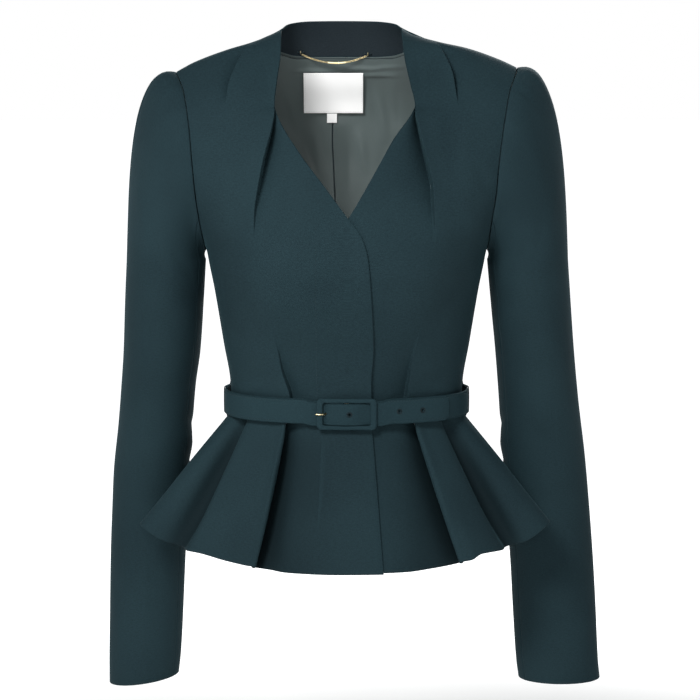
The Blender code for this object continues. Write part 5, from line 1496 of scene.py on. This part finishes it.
# %% The chain's bar, its end rings and the thread bars
bar_middle, bar_reach = float(chain_run[int(np.argmin(line[:, 2]))]), 11.0
bar_line = chain_at(np.linspace(bar_middle - bar_reach, bar_middle + bar_reach, 25))
rings = []
for i, point in enumerate(bar_line):
    ends_in = np.sqrt(np.clip(1 - (abs(i - 12) / 12.0) ** 8, 0.05, 1))
    section = np.radians(np.arange(14) * 360 / 14)
    tall, thin = 1.15 * np.sin(section) * ends_in, 0.45 * np.cos(section) * ends_in
    rings.append(point + tall[:, None] * np.array([0, 0, 1.0]) + thin[:, None] * np.array([0, 1.0, 0]))
garment["chain_bar"] = swept("chain_bar", rings, False, pale_gold)
for word, centre, turns in (("right", CHAIN_ENDS[0], (-285, 0)), ("left", CHAIN_ENDS[1], (0, 285))):
    ring = wire_rings(eye_ring(centre, *turns), 0.5, 10)
    garment["chain_eye_" + word] = swept("chain_eye_" + word, ring, False, pale_gold)
    stem = [centre - along * 3.2, centre + along * 3.2]
    back = [np.array([x, depth_near(collar_inside, x, z + 0.6) - 0.4, z + 0.6]) for x, _, z in stem]
    near = [end + (sewn_end - end) * 0.2 for end, sewn_end in zip(stem, back)]
    path = smooth_path([back[0], near[0], stem[0] + along * 0.7, stem[1] - along * 0.7, near[1], back[1]], 30)
    twist = 0.52 * (1 + 0.09 * np.sin(np.arange(30) * 1.9))
    cord = wire_rings(path, twist, 10)
    garment["thread_bar_" + word] = swept("thread_bar_" + word + "_cord", cord, False, teal_thread)

# %% [markdown]
# ## Links and stitches, made by repeating a small shape
# A link or a stitch is one small shape set down again and again, which is what Geometry Nodes are
# good at: they place instances on points, and the sizes stay named inputs. Each point carries the
# way it runs and the way it faces. A link's facing turns by a quarter at every other point.

# %% A tree that sets a shape on each point
def repeat_tree(name, kind):
    tree = bpy.data.node_groups.new(name, "GeometryNodeTree")
    for label, way, socket in (("Geometry", "INPUT", "NodeSocketGeometry"), ("Length", "INPUT", "NodeSocketFloat"),
                               ("Thickness", "INPUT", "NodeSocketFloat"), ("Finish", "INPUT", "NodeSocketMaterial"),
                               ("Geometry", "OUTPUT", "NodeSocketGeometry")):
        tree.interface.new_socket(label, in_out=way, socket_type=socket)
    graph = Graph(tree)
    given = tree.nodes.new("NodeGroupInput")
    points, length, thick, finish = (Wire(graph, given.outputs[i]) for i in range(4))
    if kind == "link":
        circle = graph.node("GeometryNodeCurvePrimitiveCircle", {}, {"Resolution": 12, "Radius": 0.5})
        oval = graph.node("ShaderNodeCombineXYZ", {}, {"X": length, "Y": length * 0.62, "Z": 1.0})
        circle = graph.node("GeometryNodeTransform", {}, {"Geometry": circle, "Scale": oval})
        wire = graph.node("GeometryNodeCurvePrimitiveCircle", {}, {"Resolution": 6, "Radius": thick * 0.5})
        shape = graph.node("GeometryNodeCurveToMesh", {}, {"Curve": circle, "Profile Curve": wire})
    else:
        ball = graph.node("GeometryNodeMeshUVSphere", {}, {"Segments": 8, "Rings": 5, "Radius": 0.5})
        size = graph.node("ShaderNodeCombineXYZ", {}, {"X": length, "Y": thick, "Z": thick * 0.8})
        shape = graph.node("GeometryNodeTransform", {}, {"Geometry": ball, "Scale": size})
    run = graph.node("GeometryNodeInputNamedAttribute", dict(data_type="FLOAT_VECTOR"), {"Name": "run"})
    face = graph.node("GeometryNodeInputNamedAttribute", dict(data_type="FLOAT_VECTOR"), {"Name": "face"})
    turn = graph.node("FunctionNodeAxesToRotation", dict(primary_axis="X", secondary_axis="Z"),
                      {"Primary Axis": run, "Secondary Axis": face})
    placed = graph.node("GeometryNodeInstanceOnPoints", {}, {"Points": points, "Instance": shape, "Rotation": turn})
    placed = graph.node("GeometryNodeRealizeInstances", {}, {"Geometry": placed})
    placed = graph.node("GeometryNodeSetShadeSmooth", {}, {"Geometry": placed})
    placed = graph.node("GeometryNodeSetMaterial", {}, {"Geometry": placed, "Material": finish})
    out = tree.nodes.new("NodeGroupOutput")
    tree.links.new(placed.socket, out.inputs[0])
    return tree


def repeated(name, tree, points, run, face, sizes, finish):
    """A mesh of the tree's shape set on each point, in millimetres."""
    seed = link_mesh(name + "_points", points, [])
    for label, values in (("run", run), ("face", face)):
        layer = seed.data.attributes.new(label, "FLOAT_VECTOR", "POINT")
        layer.data.foreach_set("vector", np.ascontiguousarray(values, dtype=np.float32).ravel())
    modifier = seed.modifiers.new("repeat", "NODES")
    modifier.node_group = tree
    names = {item.name: item.identifier for item in tree.interface.items_tree if item.in_out == "INPUT"}
    modifier[names["Length"]], modifier[names["Thickness"]] = sizes[0] * MM, sizes[1] * MM
    modifier[names["Finish"]] = finish
    live = seed.evaluated_get(bpy.context.evaluated_depsgraph_get())
    mesh = bpy.data.meshes.new_from_object(live)
    mesh.name = name
    bpy.data.objects.remove(seed)
    print(name, len(points), "repeats,", len(mesh.polygons), "faces")
    return put_in_scene(name, mesh)


def joined(name, parts):
    """One plain mesh from several, each with its own finish."""
    points, faces, slots, finishes = [], [], [], []
    for part in parts:
        mesh, first = part.data, sum(len(p) for p in points)
        points.append(np.array([tuple(v.co) for v in mesh.vertices]) / MM)
        for finish in mesh.materials:
            if finish not in finishes:
                finishes.append(finish)
        for face in mesh.polygons:
            faces.append([first + v for v in face.vertices])
            slots.append(finishes.index(mesh.materials[face.material_index]))
        bpy.data.objects.remove(part)
    return link_mesh(name, np.vstack(points), faces, None, finishes, slots)


link_tree, stitch_tree = repeat_tree("chain_links", "link"), repeat_tree("stitches", "stitch")

# %% The links of the chain
LINK_LENGTH, LINK_WIRE, LINK_STEP = 2.7, 0.62, 1.55
places, runs, faces_to = [], [], []
for low, high in ((0.0, bar_middle - bar_reach), (bar_middle + bar_reach, float(chain_run[-1]))):
    count = int((high - low) / LINK_STEP)
    for i, at in enumerate(np.linspace(low, high, count + 1)):
        way = unit(chain_at(min(at + 0.5, chain_run[-1])) - chain_at(max(at - 0.5, 0)))
        front = unit(np.cross(way, (0, 0, 1.0)))
        lean = np.radians(38 if i % 2 else -46)
        places.append(chain_at(at))
        runs.append(way)
        faces_to.append(np.cos(lean) * front + np.sin(lean) * np.cross(way, front))
garment["hanger_chain"] = repeated("hanger_chain_links", link_tree, places, runs, faces_to, (LINK_LENGTH, LINK_WIRE),
                                   pale_gold)


# %% [markdown]
# ## Stitching
# The placket is held by a line of stitches that shows as a dark line from the V to the hem. The
# label and the tab are sewn along their edges, and the eyelets are worked round with thread. Every
# stitch lies on its cloth: it takes its height from the nearest point of that cloth's face.

# %% Stitches that lie on a piece
def front_of(piece):
    """Points and normals of the side that faces the front, in millimetres."""
    points = np.array([tuple(v.co) for v in piece.data.vertices]) / MM
    normals = np.array([tuple(v.normal) for v in piece.data.vertices])
    seen = normals[:, 1] < -0.25
    return points[seen], normals[seen]


def evenly(line, step, *more):
    """Points at even steps along a line, and the same places in other rows of values."""
    length = run_along(line)
    at = np.arange(step / 2, length[-1], step)
    return [np.stack([np.interp(at, length, row[:, i]) for i in range(3)], axis=1) for row in (line, *more)]


def sewn(piece, line, step):
    """Stitches along a line, each laid on the nearest points of the piece."""
    points, normals = front_of(piece)
    found, facing_way = [], []
    for spot in evenly(line, step)[0]:
        gap = np.sum((points - spot) ** 2, axis=1)
        near = np.argsort(gap)[:6]
        weight = 1 / (gap[near] + 0.05)
        weight = (weight / weight.sum())[:, None]
        normal = unit((normals[near] * weight).sum(axis=0))
        plane = (points[near] * weight).sum(axis=0)
        found.append(spot + normal * np.dot(plane - spot, normal))
        facing_way.append(normal)
    found = np.array(found)
    return found, unit(np.gradient(found, axis=0)), np.array(facing_way)


def on_belt(place, level, lift):
    """A point over the belt's face, so far along it and above a level."""
    return belt_point(place[0], level + place[1], float(out_of_waist(place[0])) + BELT_THICK + lift)


print("the label's front has", len(front_of(garment["label"])[0]), "points")

# %% Stitches of the placket, the label and the tab
heights = np.linspace(-170, -352, 120)
across = np.full(heights.shape, PLACKET_X)
placket_line = np.stack([across, torso_depth(across, heights, True) - OVERLAP_RISE, heights], axis=1)
label_line = np.vstack([label_face[1, 1:-1], label_face[1:-1, -2], label_face[-2, -2:0:-1],
                        label_face[-2:0:-1, 1]])
batches = [("stitches_placket", teal_thread, sewn(garment["front_right"], placket_line, 3.0), (2.1, 0.42)),
           ("stitches_label", white_thread, sewn(garment["label"], label_line, 2.6), (1.7, 0.32)),
           ("stitches_tab", white_thread, sewn(garment["size_tab"], tab_face[1, 1:-1], 2.0), (1.3, 0.3))]
print({name: len(sewing[0]) for name, _, sewing, _ in batches})

# %% Stitches along both edges of the belt
BELT_STITCH_STEP = 3.2
for word, share in (("low", -0.80), ("high", 0.80)):
    along = np.linspace(46 - BELT_LOOP, -60, 420)
    tail = np.linspace(40, TAIL_END - 4, 40)
    up = share * BELT_WIDTH / 2
    tail_up = up * (1 - 0.1 * ease(TAIL_END - 8, TAIL_END, tail))
    for part, place, rise in (("round", along, up), ("tail", tail, tail_up)):
        row = belt_point(place, BELT_LEVEL + rise, out_of_waist(place) + BELT_THICK - 0.1)
        spots, ways = evenly(row, BELT_STITCH_STEP, unit(np.gradient(row, axis=0)))
        outs = np.stack([ways[:, 1], -ways[:, 0], 0 * ways[:, 0]], axis=1)
        batches.append(("stitches_belt_%s_%s" % (word, part), teal_thread, (spots, ways, outs), (2.3, 0.42)))
print(len(batches), "rows of stitches")

# %% Stitches round the eyelets, like spokes, and all of them as one piece
EYELET_RING, EYELET_TURN = 2.35, 15
spots, ways, outs = [], [], []
for hole in EYELETS[1:]:
    level = BUCKLE_LEVEL if hole < 33 else BELT_LEVEL
    for angle in np.radians(np.arange(0, 360, EYELET_TURN)):
        spoke = np.array([np.cos(angle), np.sin(angle)])
        place = np.array([hole, 0]) + spoke * EYELET_RING
        here = on_belt(place, level, 0.28)
        spots.append(here)
        ways.append(unit(on_belt(place + spoke * 0.5, level, 0.22) - here))
        outs.append(belt_point(place[0], 0.0, 1.0) - belt_point(place[0], 0.0, 0.0))
batches.append(("stitches_eyelets", dark_thread, (np.array(spots), np.array(ways), np.array(outs)), (2.3, 0.46)))
parts = [repeated(name, stitch_tree, *sewing, sizes, finish) for name, finish, sewing, sizes in batches]
garment["stitches"] = joined("stitches", parts)

# The size each piece of cloth was cut to, as far as it shows, is listed below and printed beside
# the area of its cloth, which differs where the cut isn't a rectangle.

# %% Ride and replace
for node, piece in garment.items():
    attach(piece, "chain" if node.startswith(("hanger_chain", "chain_")) else "jacket")
    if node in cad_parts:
        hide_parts(node)
print(len(garment), "pieces, of which", sum(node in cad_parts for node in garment), "replace a solid")

# %% Sheets: flat size in metres, width and length, of what shows, and what each piece hangs from
CUT = {"front_right": ((0.270, 0.400), ["back_right"]), "front_left": ((0.240, 0.400), ["back_left"]),
       "back_right": ((0.240, 0.400), ["front_right"]), "back_left": ((0.240, 0.400), ["front_left"]),
       "collar_back": ((0.190, 0.040), ["back_right"]), "lining_back": ((0.400, 0.380), ["back_right"]),
       "label": ((0.065, 0.047), ["lining_back"]), "size_tab": ((0.011, 0.010), ["lining_back"]),
       "sleeve_upper_right": ((0.205, 0.650), ["back_right"]), "sleeve_upper_left": ((0.205, 0.650), ["back_left"]),
       "sleeve_under_right": ((0.120, 0.500), ["back_right"]), "sleeve_under_left": ((0.120, 0.500), ["back_left"]),
       "peplum_front_right": ((0.310, 0.180), ["front_right"]), "peplum_front_left": ((0.310, 0.180), ["front_left"]),
       "peplum_back_right": ((0.260, 0.160), ["back_right"]), "peplum_back_left": ((0.260, 0.160), ["back_left"])}
for node, (flat, rests_on) in CUT.items():
    piece = garment[node]
    full, area = flat[0] * flat[1], cut_area[piece.name]
    print(node, "cut", flat, "box area", round(full, 4), "cloth", round(area, 4), "share", round(area / full, 3))
    min(max(area, 0.3 * full), full)

# %% [markdown]
# ## Floor, light and camera
# The photograph is a cut-out on white under soft frontal light. A white band round the horizon
# gives the white ground and an even light. The floor is dull near the jacket, where its shadow
# falls, and glows white further off. A large soft lamp above and to the left shapes the folds, a
# weak one fills from the front and one rims the back. The camera stands 2.7 m in front with a
# long lens, level with the shoulders.

# %% The floor
scene = bpy.context.scene
FLOOR_LEVEL, FLOOR_REACH = -940, 30000
corners = [(x * FLOOR_REACH, y * FLOOR_REACH, FLOOR_LEVEL) for x, y in ((-1, -1), (1, -1), (1, 1), (-1, 1))]
floor = link_mesh("floor", corners, [(0, 1, 2, 3)])
paper, graph, shader = new_material("pale_floor", (0.86, 0.86, 0.85), 0.95, Specular_IOR_Level=0.0,
                                     Emission_Strength=0.90)
from_middle = graph.node("ShaderNodeVectorMath", dict(operation="LENGTH"), {0: graph.place()}, out=1)
feed(graph, shader, Emission_Color=graph.mix(from_middle.ramp(1.25, 1.9), (0, 0, 0), (1, 1, 1)))
floor.data.materials.append(paper)
print("floor at", FLOOR_LEVEL * MM, "m")

# %% The world
world = bpy.data.worlds.new("studio")
scene.world = world
world.use_nodes = True
graph = Graph(world.node_tree)
background = world.node_tree.nodes["Background"]
upwards = graph.node("ShaderNodeSeparateXYZ", {}, {"Vector": graph.node("ShaderNodeTexCoord", out=0)}, out=2)
band = 1.0 - upwards.math("ABSOLUTE").ramp(0.10, 0.32)
feed(graph, background, Color=graph.mix(band, (0.24, 0.25, 0.26), (1, 1, 1)))
print("world:", world.name, "with", len(world.node_tree.nodes), "nodes")

# %% Lamps and camera
AIM = (0.0, 0.0, -0.32)
LAMPS = (("key", (-0.80, -1.8, 1.1), 62.0, 0.7), ("front", (0.10, -2.7, 0.20), 15.0, 0.6),
         ("back", (0.7, 1.9, 1.0), 30.0, 1.0))


def aim(thing, place, target):
    thing.location = place
    way = np.array(target, float) - np.array(place, float)
    turn = np.arctan2(way[1], way[0]) - np.pi / 2
    tilt = np.arctan2(way[2], np.hypot(way[0], way[1])) + np.pi / 2
    thing.rotation_euler = (float(tilt), 0.0, float(turn))


for name, place, power, size in LAMPS:
    lamp = bpy.data.lights.new(name, "AREA")
    lamp.energy, lamp.size = power, size
    aim(put_in_scene(name, lamp), place, AIM)

lens = bpy.data.cameras.new("camera")
lens.lens, lens.sensor_width = 134.4, 36.0
camera = put_in_scene("camera", lens)
aim(camera, (0.0, -2.7, 0.01), (0.0036, 0.0, -0.306))
scene.camera = camera
scene.view_settings.view_transform = "Standard"
print("camera at", tuple(round(v, 3) for v in camera.location))
